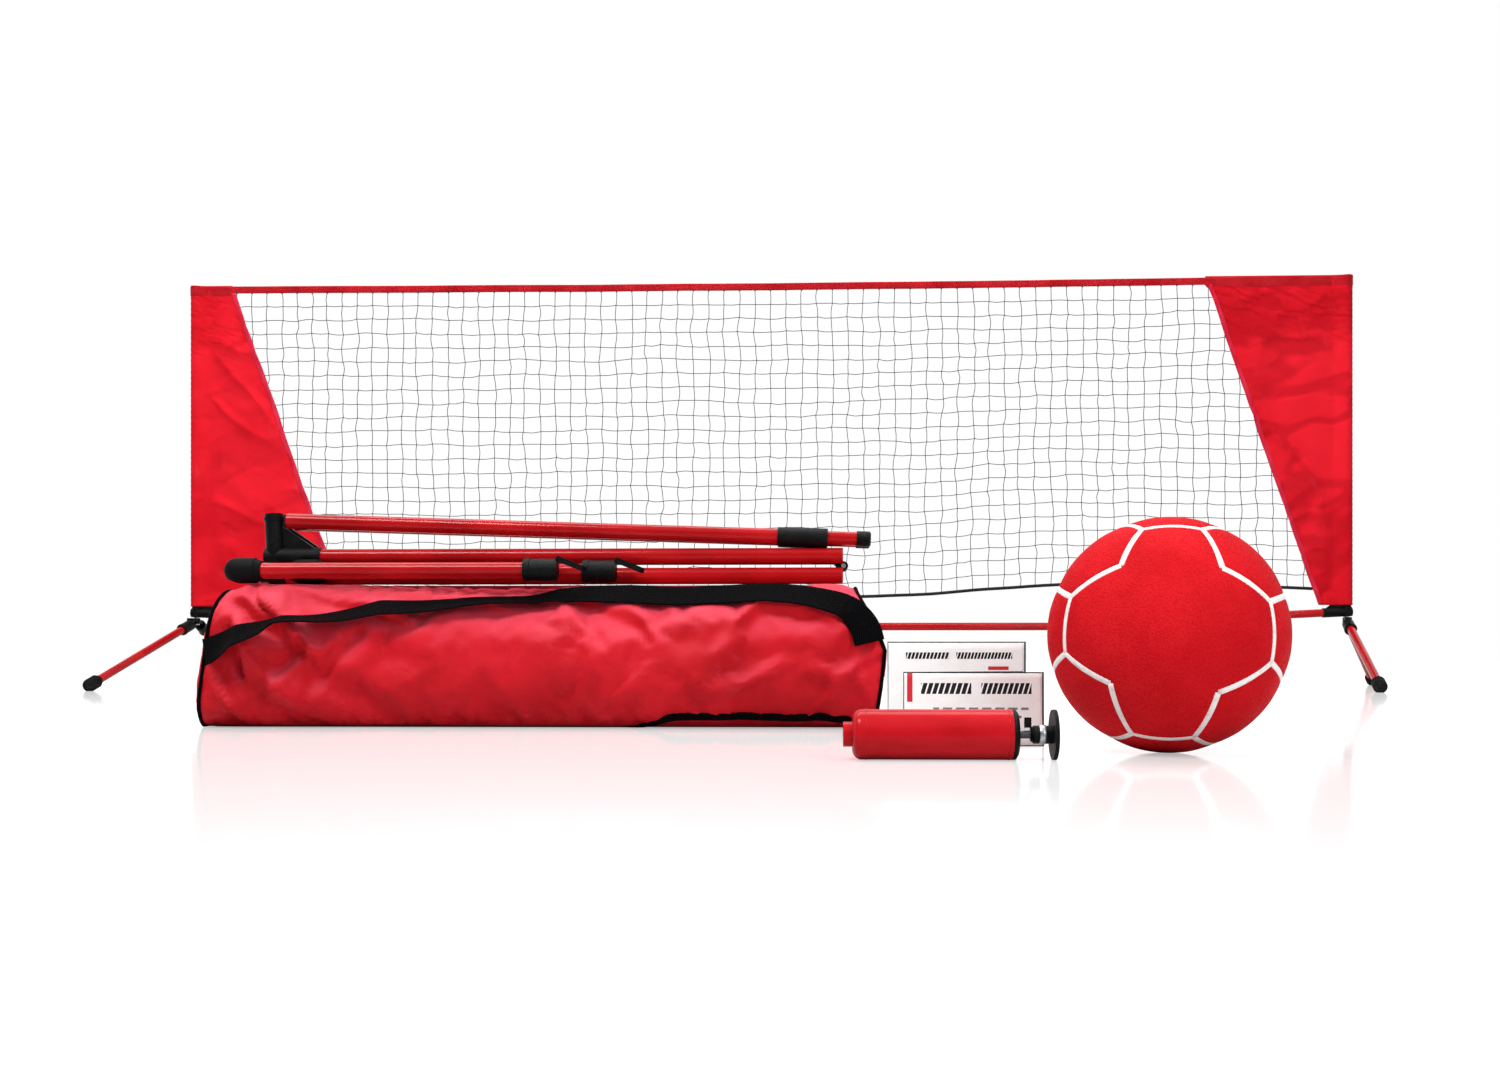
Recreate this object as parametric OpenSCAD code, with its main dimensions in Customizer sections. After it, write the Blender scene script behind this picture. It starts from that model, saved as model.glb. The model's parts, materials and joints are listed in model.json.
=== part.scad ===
// Soccer tennis set: a 3 m net on a folding frame, with a second frame folded
// on its carry bag, a ball, a hand pump and two leaflets.
// The origin is on the ground, at the middle of the whole set's footprint.
// +X runs along the net and +Y points away from the player's side.

/* [Frame tubes] */
// Outside diameter of every frame tube
tube_d = 20; // [18:0.5:22]
// Wall of every frame tube
tube_wall = 1.2; // [0.8:0.1:1.6]
// Radial clearance of a tube in its socket
socket_clear = 0.1; // [0.05:0.05:0.3]
// Wall of the plastic sockets and sleeves
socket_wall = 1.9; // [1.5:0.1:3]
// Radial running clearance of pins, pistons and telescopes
run_clear = 0.05; // [0.02:0.01:0.08]
// Radius of the section hinge pins
hinge_pin_r = 3; // [2.5:0.25:4]
// Radius of the leg pins under the hubs
leg_pin_r = 4; // [3:0.25:5]
// Gap between soft pieces and what carries them
seat_gap = 0.3; // [0.2:0.1:0.6]

/* [Net] */
// Distance between the two uprights
net_span = 2974; // [2900:2:3050]
// Height of the top edge of the net
net_top = 1053; // [1030:1:1080]
// Height of the lower edge of the end panels
panel_bottom = 212; // [205:1:225]
// Top width of the left end panel, from the upright
left_panel_top = 95; // [90:5:150]
// Bottom width of the left end panel, from the upright
left_panel_low = 395; // [300:5:420]
// Top width of the right end panel, from the upright
right_panel_top = 356; // [300:5:400]
// Bottom width of the right end panel, from the upright
right_panel_low = 70; // [60:5:150]
// Thickness of the doubled panel cloth
panel_t = 2.4; // [1.5:0.1:4]
// Inside radius of the pole sleeve of a panel
sleeve_r = 13.6; // [13.4:0.1:16]
// Thickness of the sleeve's cloth
sleeve_t = 1.5; // [1:0.1:3]
// Height of the top tape
tape_h = 20; // [15:1:30]
// Thickness of the top tape
tape_t = 3; // [2:0.5:4]
// Mesh width along the net
mesh_x = 40; // [30:1:50]
// Mesh height
mesh_z = 37; // [30:1:50]
// Diameter of the net twine
twine_d = 1.6; // [1.2:0.1:2.4]
// Diameter of the bottom cord
cord_d = 8; // [5:0.5:10]

/* [Base rail] */
// Height of the rail at the hubs
hub_z = 195; // [180:1:200]
// Height of the rail between its two quarter hinges
quarter_z = 158; // [150:1:180]
// Distance along the rail from the centre pin to a folded hub
hub_inset = 19; // [18:0.5:25]
// Distance from a section's hinge pin to the end of its tube
tube_inset = 1; // [0.5:0.25:3]
// Height between two folded sections, centre to centre
fold_pitch = 25; // [24.5:0.5:30]
// Sideways distance between two folded rows, centre to centre
row_pitch = 30; // [29:0.5:40]
// Thickness of a hinge lug plate
lug_t = 3; // [2:0.25:4]
// Distance from the pin to the lug's boss along the tube
lug_run = 16; // [15:0.5:30]
// Radius of a hinge knuckle's eye
eye_r = 9; // [8:0.5:12]
// Height of the centre knuckle
knuckle_h = 16; // [12:1:20]

/* [Hubs] */
// Length of a hub's rail socket from the upright's centre
hub_rail_len = 60; // [50:1:80]
// Length of a hub's upright socket above the rail's centre
hub_arm_len = 56; // [45:1:65]
// Thickness of the hub's web
web_t = 8; // [5:0.5:12]
// Height of the solid foot of the upright socket
socket_floor = 14; // [13:0.5:18]

/* [Legs] */
// Reach of a leg on the ground, from its pin to its foot
leg_reach = 400; // [350:5:420]
// Thickness of a leg knuckle's eye
leg_eye_h = 7; // [5:0.5:9]
// Distance from the leg pin to the knuckle's sleeve
leg_neck = 24; // [22:0.5:30]
// Length of the knuckle's sleeve
leg_sleeve = 42; // [30:1:50]
// Outside radius of the knuckle's sleeve
leg_sleeve_r = 14; // [12.5:0.5:16]
// Radius of the rubber foot
foot_r = 16; // [14:0.5:20]
// Height of the foot's centre over the ground
foot_h = 14; // [12:0.5:15]
// Length of the rubber foot along the leg
foot_len = 24; // [15:1:35]
// Swing of the front left leg away from the net's middle
swing_fl = 14; // [0:1:30]
// Swing of the front right leg away from the net's middle
swing_fr = -9; // [-30:1:30]
// Swing of the rear left leg away from the net's middle
swing_rl = 3; // [0:1:30]
// Swing of the rear right leg away from the net's middle
swing_rr = 29; // [0:1:32]

/* [Uprights] */
// Length of the lower tube of an upright
pole_low = 676; // [650:1:720]
// Length of the upper tube of an upright
pole_up = 260; // [200:5:300]
// Reach of the upper tube out of the collar when it is pushed in
pole_out = 37; // [20:1:60]
// Length of the locking collar
collar_len = 64; // [50:1:80]
// Part of the collar that stands past the lower tube
collar_over = 24; // [15:1:35]
// Length of the cap on the upper tube
cap_len = 18; // [12:1:25]

/* [Bag] */
// Length of the bag
bag_len = 885; // [860:5:920]
// Depth of the bag from front to back
bag_depth = 250; // [240:5:280]
// Height of the bag
bag_h = 179.7; // [165:0.1:195]
// Rounding of the bag's upper edges
bag_round_up = 50; // [35:1:55]
// Rounding of the bag's lower edges
bag_round_low = 60; // [40:1:70]
// Width of the webbing strap
strap_w = 38; // [25:1:45]
// Thickness of the webbing strap
strap_t = 2.5; // [1.5:0.1:4]
// Length of the zip
zip_len = 620; // [500:10:700]
// Width of the zip
zip_w = 24; // [20:1:30]

/* [Ball] */
// Outside radius of the ball
ball_r = 110; // [105:0.5:112]
// Thickness of the ball's cover
cover_t = 3; // [2:0.5:4]
// Thickness of the bladder
bladder_t = 1.2; // [0.8:0.1:2]
// Radius of the valve
valve_r = 5; // [4:0.5:6]
// Radius of the needle hole
needle_r = 0.9; // [0.7:0.05:1.1]

/* [Pump] */
// Outside radius of the pump barrel
pump_r = 22; // [20:0.5:25]
// Length of the pump barrel
pump_len = 139; // [120:1:150]
// Wall of the pump barrel
pump_wall = 2; // [1.5:0.1:3]
// Length of the neck
neck_len = 8; // [6:0.5:12]
// Radius of the neck
neck_r = 11; // [9:0.5:14]
// Radius of the needle socket in the neck
socket_r = 3.85; // [3:0.05:4.5]
// Thickness of the end cap
end_cap_t = 5; // [4:0.5:8]
// Radius of the piston rod
rod_r = 3.5; // [3:0.25:5]
// Reach of the rod out of the end cap at rest
rod_out = 11; // [8:0.5:20]
// Length of the handle's stem
stem_len = 19; // [15:0.5:25]
// Radius of the handle's stem
stem_r = 8; // [6:0.5:10]
// Radius of the handle's disc
disc_r = 22; // [20:0.5:25]
// Thickness of the handle's disc
disc_t = 3.5; // [3:0.25:5]

/* [Leaflets] */
// Thickness of the card
card_t = 0.8; // [0.5:0.1:1.2]
// Width and height of the front leaflet
front_card = [140, 74]; // [60:1:150]
// Width and height of the rear leaflet
rear_card = [148, 105]; // [60:1:150]
// Angle between the two halves of a leaflet
card_open = 24; // [15:1:60]

/* [Places] */
// Centre of the net on the ground
net_place = [-49, 1083]; // [-200:1:1200]
// Centre of the bag, from the net's centre
bag_place = [-218, -1942]; // [-2100:1:0]
// Centre of the ball, from the net's centre
ball_place = [456, -2462]; // [-2600:1:600]
// Centre of the pump's barrel, from the net's centre
pump_place = [229, -2560]; // [-2600:1:600]
// Middle of the front leaflet, from the net's centre
front_card_place = [286, -2370]; // [-2600:1:600]
// Middle of the rear leaflet, from the net's centre
rear_card_place = [280, -2258]; // [-2600:1:600]
// Place of the folded frame's left pin, from the middle of the bag's left end
fold_place = [73, 0]; // [-10:0.5:200]
// Distances of the two stowed feet from the bag's left end, near and far from the rail
stowed_foot_in = [132.5, 63.5]; // [40:0.5:200]

/* [Hidden] */
$fn = 48;

red = "#c4161c";
black = "#17191b";
steel = "#9a9da0";
white = "#f2f2f0";

tube_r = tube_d / 2;
tube_in = tube_r - tube_wall;
socket_in = tube_r + socket_clear;
socket_out = socket_in + socket_wall;
upright_x = net_span / 2;
extension_r = tube_in - run_clear;
half_pitch = fold_pitch / 2;
half_row = row_pitch / 2;
// Lengths of the inner and outer sections along the net
inner_len = (upright_x + hub_inset) / 2;
outer_span = upright_x - inner_len;
collar_r = socket_out;
// Half the gap between two eyes on one pin
eye_split = 0.15;
// Height of the collar on a leg's pin, which holds the leg clear of the leaning rail socket
pin_collar = 2;
// Radius of a lug's boss, and half the height of its plate
lug_r = 7;
lug_half = 5;
// Rise of the bottom cord over the panels' lower edge
cord_rise = 20;
hub_back = 13;
pin_hole_depth = 22;
// Place of the rail tube's end in the hub
rail_start = 10;
// Height of the hub's web and its fall per unit of run
web_top = hub_arm_len - 16;
web_steep = (web_top - socket_out + 2) / (hub_rail_len - 10 - socket_out + 2);
// Slope of the outer tubes, and their length from the upright's axis to the hinge pin
outer_slope = atan((hub_z - quarter_z) / outer_span);
outer_len = outer_span * cos(outer_slope) + (hub_z - quarter_z + half_pitch) * sin(outer_slope);
// Place of a folded hub's upright from the centre pin
fold_hub_x = inner_len - outer_len;
knuckle_back = eye_r + 1;
centre_sleeve = 22;
// Place of a tube's end in the centre knuckle
centre_tube = knuckle_back + 5 + seat_gap;
piston_at = 12;
barrel_round = 8;
zip_t = 1.6;
valve_len = 14;

// A tube between two points
module rod_between(a, b, r) {
  d = b - a;
  len = norm(d);
  translate(a) rotate([0, acos(d.z / len), atan2(d.y, d.x)]) cylinder(h = len, r = r);
}

module tube_between(a, b) {
  d = b - a;
  step = d / norm(d);
  difference() {
    rod_between(a, b, tube_r);
    rod_between(a - step, b + step, tube_in);
  }
}

module along_x() { rotate([0, 90, 0]) children(); }

module at_net() { translate([net_place.x, net_place.y, 0]) children(); }
module at_bag() { at_net() translate([bag_place.x, bag_place.y, 0]) children(); }

/* Hub: an upright socket, a rail socket that leans down towards +X, a web between them
   and a pin hole from below */
function web_points(grow) = [
  [0, 0], [hub_rail_len - 10 + grow, 0], [hub_rail_len - 10 + grow, socket_out - 2 + grow],
  [socket_out - 2 + grow, web_top + grow], [0, web_top + grow]];
module web(thick, grow) {
  translate([0, thick / 2, 0]) rotate([90, 0, 0]) linear_extrude(thick) polygon(web_points(grow));
}
module hub_body() {
  difference() {
    union() {
      rotate([0, outer_slope, 0]) translate([-hub_back, 0, 0]) along_x()
        cylinder(h = hub_back + hub_rail_len, r = socket_out);
      translate([0, 0, 1 - socket_out]) cylinder(h = hub_arm_len + socket_out - 1, r = socket_out);
      translate([0, 0, hub_arm_len - 9]) cylinder(h = 5, r = socket_out + 1);
      web(web_t, 0);
      translate([0, 0, -socket_out]) cylinder(h = socket_out, r = eye_r);
    }
    rotate([0, outer_slope, 0]) translate([rail_start, 0, 0]) along_x() cylinder(h = hub_rail_len, r = socket_in);
    translate([0, 0, socket_floor]) cylinder(h = hub_arm_len, r = socket_in);
    translate([0, 0, -socket_out - 1]) cylinder(h = pin_hole_depth + 1, r = leg_pin_r + run_clear);
  }
}

/* Erected frame: hub, outer tube, quarter hinge and inner tube on each side */
module each_side() { for (turn = [0, 180]) at_net() rotate([0, 0, turn]) children(); }
// Frames on the left half: the quarter hinge's pin, and each tube's own axis at that pin
module at_quarter_pin() { translate([-inner_len, 0, quarter_z - half_pitch]) children(); }
module outer_axis() { at_quarter_pin() rotate([0, outer_slope, 0]) translate([0, 0, half_pitch]) children(); }
module inner_axis() { at_quarter_pin() translate([0, 0, half_pitch]) children(); }

// The outer tube, on its own axis with the pin's place at the origin
module outer_tube() { tube_between([rail_start + seat_gap - outer_len, 0, 0], [-tube_inset, 0, 0]); }
module inner_tube() {
  tube_between([-inner_len + tube_inset, 0, quarter_z], [-centre_tube, 0, quarter_z]);
}

/* Legs. The frame of a leg has its origin on the pin, midway between the two eyes;
   the leg runs towards -Y and down to the ground */
leg_axis_z = hub_z - socket_out - pin_collar - seat_gap - leg_eye_h - eye_split;
leg_slope = atan((leg_axis_z - foot_h) / leg_reach);
leg_len = leg_reach / cos(leg_slope);
leg_tube_start = leg_neck + 6;

// A leg's swing is counted away from the net's middle
module at_leg(side, face, swing) {
  turn = face > 0 ? 180 - side * swing : side * swing;
  at_net() translate([side * upright_x, 0, leg_axis_z]) rotate([0, 0, turn]) children();
}
module down_leg(t) { rotate([90 + leg_slope, 0, 0]) translate([0, 0, t]) children(); }

module leg_tube() {
  down_leg(leg_tube_start) difference() {
    cylinder(h = leg_len - leg_tube_start, r = tube_r);
    translate([0, 0, -1]) cylinder(h = leg_len, r = tube_in);
  }
}

module leg_knuckle(up) {
  low = up ? eye_split : -eye_split - leg_eye_h;
  difference() {
    union() {
      translate([0, 0, low]) cylinder(h = leg_eye_h, r = eye_r);
      translate([1 - eye_r, -leg_neck - 6, low]) cube([2 * eye_r - 2, leg_neck + 6, leg_eye_h]);
      down_leg(leg_neck + 2) cylinder(h = leg_sleeve, r = leg_sleeve_r);
      down_leg(leg_neck + leg_sleeve - 6) cylinder(h = 5, r = leg_sleeve_r + 1);
    }
    translate([0, 0, low - 1]) cylinder(h = leg_eye_h + 2, r = leg_pin_r + run_clear);
    down_leg(leg_tube_start - seat_gap) cylinder(h = leg_sleeve + 30, r = socket_in);
  }
}

module leg_foot() {
  difference() {
    union() {
      down_leg(leg_len) sphere(r = foot_r);
      down_leg(leg_len - foot_len) cylinder(h = foot_len, r = foot_r);
      down_leg(leg_len - foot_len - 8) cylinder(h = 9, r1 = tube_r + 2, r2 = foot_r - 0.5);
    }
    down_leg(leg_len - foot_len - 20) cylinder(h = foot_len + 20 + seat_gap, r = tube_r + run_clear);
    translate([-100, -leg_reach - 100, -leg_axis_z - 50]) cube([200, 200, 50]);
  }
}
module leg_pin() {
  low = leg_axis_z - leg_eye_h - eye_split - seat_gap;
  translate([0, 0, low]) cylinder(h = hub_z - socket_out + pin_hole_depth - 1 - low, r = leg_pin_r);
  translate([0, 0, low - 3]) cylinder(h = 3, r = leg_pin_r + 3);
  translate([0, 0, hub_z - socket_out - pin_collar - seat_gap * 2 / 3])
    cylinder(h = pin_collar - seat_gap * 4 / 3, r = leg_pin_r + 3);
}

/* Uprights: lower tube, locking collar, upper tube and cap, from the hub's socket up */
module pole_lower() {
  difference() {
    cylinder(h = pole_low, r = tube_r);
    translate([0, 0, -1]) cylinder(h = pole_low + 2, r = tube_in);
  }
}
collar_low = pole_low - collar_len + collar_over;
module pole_collar() {
  difference() {
    union() {
      translate([0, 0, collar_low]) cylinder(h = collar_len, r = collar_r);
      translate([0, 0, collar_low + collar_len - 27]) cylinder(h = 3, r = collar_r + 0.5);
    }
    translate([0, 0, collar_low - 1]) cylinder(h = collar_len - collar_over + 1, r = tube_r + run_clear);
    translate([0, 0, collar_low]) cylinder(h = collar_len + 1, r = extension_r + run_clear);
  }
}
module pole_extension(pulled) {
  top = pole_low + collar_over + pole_out + pulled;
  translate([0, 0, top - pole_up]) difference() {
    cylinder(h = pole_up, r = extension_r);
    translate([0, 0, -1]) cylinder(h = pole_up + 2, r = extension_r - tube_wall);
  }
}
module pole_cap(pulled) {
  translate([0, 0, pole_low + collar_over + pole_out + pulled]) {
    cylinder(h = cap_len - 2, r = tube_r);
    translate([0, 0, cap_len - 2]) cylinder(h = 2, r1 = tube_r, r2 = tube_r - 2);
  }
}
pole_foot_z = hub_z + socket_floor + seat_gap;
pole_pulled = net_top - 5 - seat_gap - pole_foot_z - pole_low - collar_over - pole_out - cap_len;

module upright_at() {
  for (side = [-1, 1]) at_net() translate([side * upright_x, 0, pole_foot_z]) children();
}

/* Section hinge, on a tube that runs to -X and ends at its pin: a lug plate on the +Y side */
module lug(layer, rise) {
  y0 = tube_r + seat_gap + layer * (lug_t + seat_gap);
  difference() {
    union() {
      rod_between([-lug_run, 0, 0], [-lug_run, y0 + lug_t, 0], lug_r);
      rod_between([0, y0, rise], [0, y0 + lug_t, rise], lug_r - 1);
      translate([-lug_run, y0, 0]) rotate([0, -atan2(rise, lug_run), 0])
        translate([0, 0, -lug_half]) cube([norm([lug_run, rise]), lug_t, 2 * lug_half]);
    }
    rod_between([-3 * lug_run, 0, 0], [lug_run, 0, 0], tube_r + run_clear);
    rod_between([0, y0 - 1, rise], [0, y0 + lug_t + 1, rise], hinge_pin_r + run_clear);
  }
}
module lug_pin() {
  y0 = tube_r + seat_gap - 1;
  y1 = tube_r + 2 * seat_gap + 2 * lug_t + 0.2;
  rod_between([0, y0, 0], [0, y1, 0], hinge_pin_r);
  rod_between([0, y1, 0], [0, y1 + 1.5, 0], hinge_pin_r + 1.5);
}

/* Centre hinge. The pin is at the origin, upright. The tube runs to +X at y = row * half_row:
   row -1 has the lower eye, row 1 the upper one */
module centre_knuckle(row) {
  low = row > 0 ? eye_split : -knuckle_h / 2;
  h = knuckle_h / 2 - eye_split;
  difference() {
    union() {
      translate([0, 0, low]) cylinder(h = h, r = eye_r);
      translate([knuckle_back, row * half_row, 0]) along_x() cylinder(h = centre_sleeve, r = socket_out);
      translate([0, row > 0 ? 0 : -half_row - eye_r, low]) cube([knuckle_back + 4, half_row + eye_r, h]);
    }
    translate([knuckle_back + 5, row * half_row, 0]) along_x() cylinder(h = centre_sleeve, r = socket_in);
    translate([0, 0, low - 1]) cylinder(h = h + 2, r = hinge_pin_r + run_clear);
  }
}
module centre_pin() {
  translate([0, 0, -knuckle_h / 2]) cylinder(h = knuckle_h, r = hinge_pin_r);
  translate([0, 0, knuckle_h / 2]) cylinder(h = 1.5, r = hinge_pin_r + 1.5);
}
// The erected rail lies on the knuckles' front row
module at_centre() { at_net() translate([0, half_row, quarter_z]) children(); }

module upright_tubes() { color(red) upright_at() pole_lower(); }
module upright_collars() { color(black) upright_at() pole_collar(); }
module upright_extensions() { color(red) upright_at() pole_extension(pole_pulled); }
module upright_caps() { color(black) upright_at() pole_cap(pole_pulled); }
module hubs() { color(black) each_side() translate([-upright_x, 0, hub_z]) hub_body(); }
module base_tubes() {
  color(red) each_side() {
    outer_axis() outer_tube();
    inner_tube();
  }
}
module base_hinges() {
  color(black) {
    each_side() {
      outer_axis() lug(1, -half_pitch);
      inner_axis() mirror([1, 0, 0]) lug(0, -half_pitch);
    }
    at_centre() centre_knuckle(-1);
    at_centre() rotate([0, 0, 180]) centre_knuckle(1);
  }
}
module frame_pins() {
  color(steel) {
    each_side() {
      at_quarter_pin() lug_pin();
      translate([-upright_x, 0, 0]) leg_pin();
    }
    at_centre() centre_pin();
  }
}
module leg_front_left() { color(red) at_leg(-1, -1, swing_fl) leg_tube(); }
module leg_front_right() { color(red) at_leg(1, -1, swing_fr) leg_tube(); }
module leg_rear_left() { color(red) at_leg(-1, 1, swing_rl) leg_tube(); }
module leg_rear_right() { color(red) at_leg(1, 1, swing_rr) leg_tube(); }
module knuckle_front_left() { color(black) at_leg(-1, -1, swing_fl) leg_knuckle(true); }
module knuckle_front_right() { color(black) at_leg(1, -1, swing_fr) leg_knuckle(true); }
module knuckle_rear_left() { color(black) at_leg(-1, 1, swing_rl) leg_knuckle(false); }
module knuckle_rear_right() { color(black) at_leg(1, 1, swing_rr) leg_knuckle(false); }
module foot_front_left() { color(black) at_leg(-1, -1, swing_fl) leg_foot(); }
module foot_front_right() { color(black) at_leg(1, -1, swing_fr) leg_foot(); }
module foot_rear_left() { color(black) at_leg(-1, 1, swing_rl) leg_foot(); }
module foot_rear_right() { color(black) at_leg(1, 1, swing_rr) leg_foot(); }

/* Net and its end panels, in the plane y = 0 */
function left_edge(z) = -upright_x + left_panel_top
  + (left_panel_low - left_panel_top) * (net_top - z) / (net_top - panel_bottom);
function right_edge(z) = upright_x - right_panel_top
  + (right_panel_top - right_panel_low) * (net_top - z) / (net_top - panel_bottom);
function left_edge_z(x) = net_top - (x + upright_x - left_panel_top)
  * (net_top - panel_bottom) / (left_panel_low - left_panel_top);
function right_edge_z(x) = net_top - (x - upright_x + right_panel_top)
  * (net_top - panel_bottom) / (right_panel_top - right_panel_low);
cord_low = panel_bottom + cord_rise;
cord_route = [[left_edge(cord_low - cord_d / 2) + seat_gap, 0, cord_low], [340, 0, cord_low + 4],
              [770, 0, cord_low + 36], [1100, 0, cord_low + 32], [right_edge(cord_low + 22 + cord_d / 2) - seat_gap, 0, cord_low + 22]];
function cord_z(x) = lookup(x, [for (p = cord_route) [p.x, p.z]]);

module at_upright(side) {
  at_net() translate([side * upright_x, 0, hub_z]) rotate([0, 0, side > 0 ? 180 : 0]) children();
}
module panel(side, inner_top, inner_low) {
  x = side * upright_x;
  difference() {
    union() {
      at_net() translate([0, panel_t / 2, 0]) rotate([90, 0, 0]) linear_extrude(panel_t)
        polygon([[x, panel_bottom], [x, net_top], [inner_top, net_top], [inner_low, panel_bottom]]);
      at_net() translate([x, 0, panel_bottom]) cylinder(h = net_top - panel_bottom, r = sleeve_r + sleeve_t);
      intersection() {
        at_upright(side) web(web_t + 2 * sleeve_t + 1, 1 + sleeve_t);
        at_net() translate([x - 100, -50, panel_bottom]) cube([200, 100, 100]);
      }
    }
    at_net() translate([x, 0, panel_bottom - 1]) cylinder(h = net_top - 5 - panel_bottom + 1, r = sleeve_r);
    at_upright(side) web(web_t + 1, 1);
  }
}
module panel_left() { color(red) panel(-1, left_edge(net_top), left_edge(panel_bottom)); }
module panel_right() { color(red) panel(1, right_edge(net_top), right_edge(panel_bottom)); }
module top_tape() {
  x0 = left_edge(net_top - tape_h) + seat_gap;
  x1 = right_edge(net_top) - seat_gap;
  color(red) at_net() translate([x0, -tape_t / 2, net_top - tape_h]) cube([x1 - x0, tape_t, tape_h]);
}
// A round cord along a route that runs mainly to +X
cord_sides = 10;
module cord_tube(route, r) {
  n = len(route);
  points = [for (p = route) for (k = [0 : cord_sides - 1])
    p + r * [0, cos(360 * k / cord_sides), sin(360 * k / cord_sides)]];
  sides = [for (i = [0 : n - 2]) for (k = [0 : cord_sides - 1])
    let (a = i * cord_sides + k, b = i * cord_sides + (k + 1) % cord_sides)
    [a, b, b + cord_sides, a + cord_sides]];
  first = [for (k = [cord_sides - 1 : -1 : 0]) k];
  last = [for (k = [0 : cord_sides - 1]) (n - 1) * cord_sides + k];
  polyhedron(points = points, faces = concat([first], sides, [last]));
}
module bottom_cord() { color(black) at_net() cord_tube(cord_route, cord_d / 2); }
module net_mesh() {
  top = net_top - tape_h - 0.1;
  plane = twine_d / 2 + 0.05;
  x0 = left_edge(top) + mesh_x / 2;
  color("dimgray") at_net() {
    for (x = [x0 : mesh_x : upright_x - right_panel_low - mesh_x / 4]) {
      high = min(top, right_edge_z(x + twine_d / 2) - seat_gap);
      low = cord_z(x) + cord_d / 2 + 0.1;
      low_here = max(low, left_edge_z(x - twine_d / 2) + seat_gap);
      if (high > low_here + mesh_z / 4) translate([x, plane, low_here]) cylinder(h = high - low_here, d = twine_d);
    }
    for (z = [top - mesh_z : -mesh_z : cord_low + mesh_z])
      rod_between([left_edge(z - twine_d / 2) + seat_gap, -plane, z], [right_edge(z + twine_d / 2) - seat_gap, -plane, z], twine_d / 2);
  }
}

/* Folded frame on the bag: the inner sections lie below, the outer ones on top.
   Its frame has the origin on the centre hinge's pin */
fold_z = bag_h + seat_gap + socket_out;
module at_fold() { at_bag() translate([fold_place.x - bag_len / 2, fold_place.y, fold_z]) children(); }
module at_row(row, layer) { at_fold() translate([0, row * half_row, layer * fold_pitch]) children(); }
module at_fold_pin(row) { at_fold() translate([inner_len, row * half_row, half_pitch]) children(); }

module fold_inner(row) { at_row(row, 0) tube_between([centre_tube, 0, 0], [inner_len - tube_inset, 0, 0]); }
module fold_outer(row) { at_row(row, 1) translate([inner_len, 0, 0]) outer_tube(); }
// A folded hub leans back, because its rail socket lies level
module fold_hub(row) {
  at_row(row, 1) translate([fold_hub_x, 0, 0]) rotate([0, -outer_slope, 0]) hub_body();
}
module fold_inner_lugs(row) {
  at_fold() centre_knuckle(row);
  at_row(row, 0) translate([inner_len, 0, 0]) mirror([0, 0, 1]) lug(0, -half_pitch);
}
module fold_outer_lugs(row) { at_row(row, 1) translate([inner_len, 0, 0]) lug(1, -half_pitch); }

module fold_tube_1() { color(red) fold_outer(-1); }
module fold_tube_2() { color(red) fold_inner(-1); }
module fold_tube_3() { color(red) fold_inner(1); }
module fold_tube_4() { color(red) fold_outer(1); }
module fold_lugs_1() { color(black) fold_outer_lugs(-1); }
module fold_lugs_2() { color(black) fold_inner_lugs(-1); }
module fold_lugs_3() { color(black) fold_inner_lugs(1); }
module fold_lugs_4() { color(black) fold_outer_lugs(1); }
module fold_pins_2() {
  color(steel) {
    at_fold() centre_pin();
    at_fold_pin(-1) lug_pin();
  }
}
module fold_pins_3() { color(steel) at_fold_pin(1) lug_pin(); }
module fold_hub_1() { color(black) fold_hub(-1); }
module fold_hub_4() { color(black) fold_hub(1); }

/* Uprights stowed on the outer sections: one end on the hub's web, the collar on the tube */
pole_start_x = socket_out + 3.5;
web_z = web_top - (pole_start_x - socket_out + 2) * web_steep;
pole_start_z = web_z + tube_r + 2 * seat_gap;
pole_tilt = asin((pole_start_z - tube_r - collar_r - 2 * seat_gap) / (pole_low + collar_over));
module at_pole(row) {
  at_row(row, 1) translate([fold_hub_x + pole_start_x, 0, pole_start_z]) rotate([0, 90 + pole_tilt, 0]) children();
}
module pole_tube_1() { color(red) at_pole(-1) pole_lower(); }
module pole_tube_4() { color(red) at_pole(1) pole_lower(); }
module pole_collar_1() { color(black) at_pole(-1) pole_collar(); }
module pole_collar_4() { color(black) at_pole(1) pole_collar(); }
module pole_extension_1() {
  color(red) at_pole(-1) pole_extension(0);
  color(black) at_pole(-1) pole_cap(0);
}
module pole_extension_4() {
  color(red) at_pole(1) pole_extension(0);
  color(black) at_pole(1) pole_cap(0);
}

/* Two of the legs stowed in front of the folded rail */
leg_row_1 = -half_row - socket_out - foot_r - 1;
leg_row_2 = leg_row_1 - 2 * foot_r - 1;
stowed_legs = [[stowed_foot_in.x - bag_len / 2, leg_row_1], [stowed_foot_in.y - bag_len / 2, leg_row_2]];
module each_stowed_leg() {
  for (p = stowed_legs) at_bag()
    translate([p.x + leg_len, p.y, bag_h + seat_gap + foot_r])
      rotate([0, 0, -90]) rotate([-leg_slope, 0, 0]) children();
}
module stowed_leg_tubes() { color(red) each_stowed_leg() leg_tube(); }
module stowed_knuckles() { color(black) each_stowed_leg() leg_knuckle(true); }
module stowed_feet() { color(black) each_stowed_leg() leg_foot(); }

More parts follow.
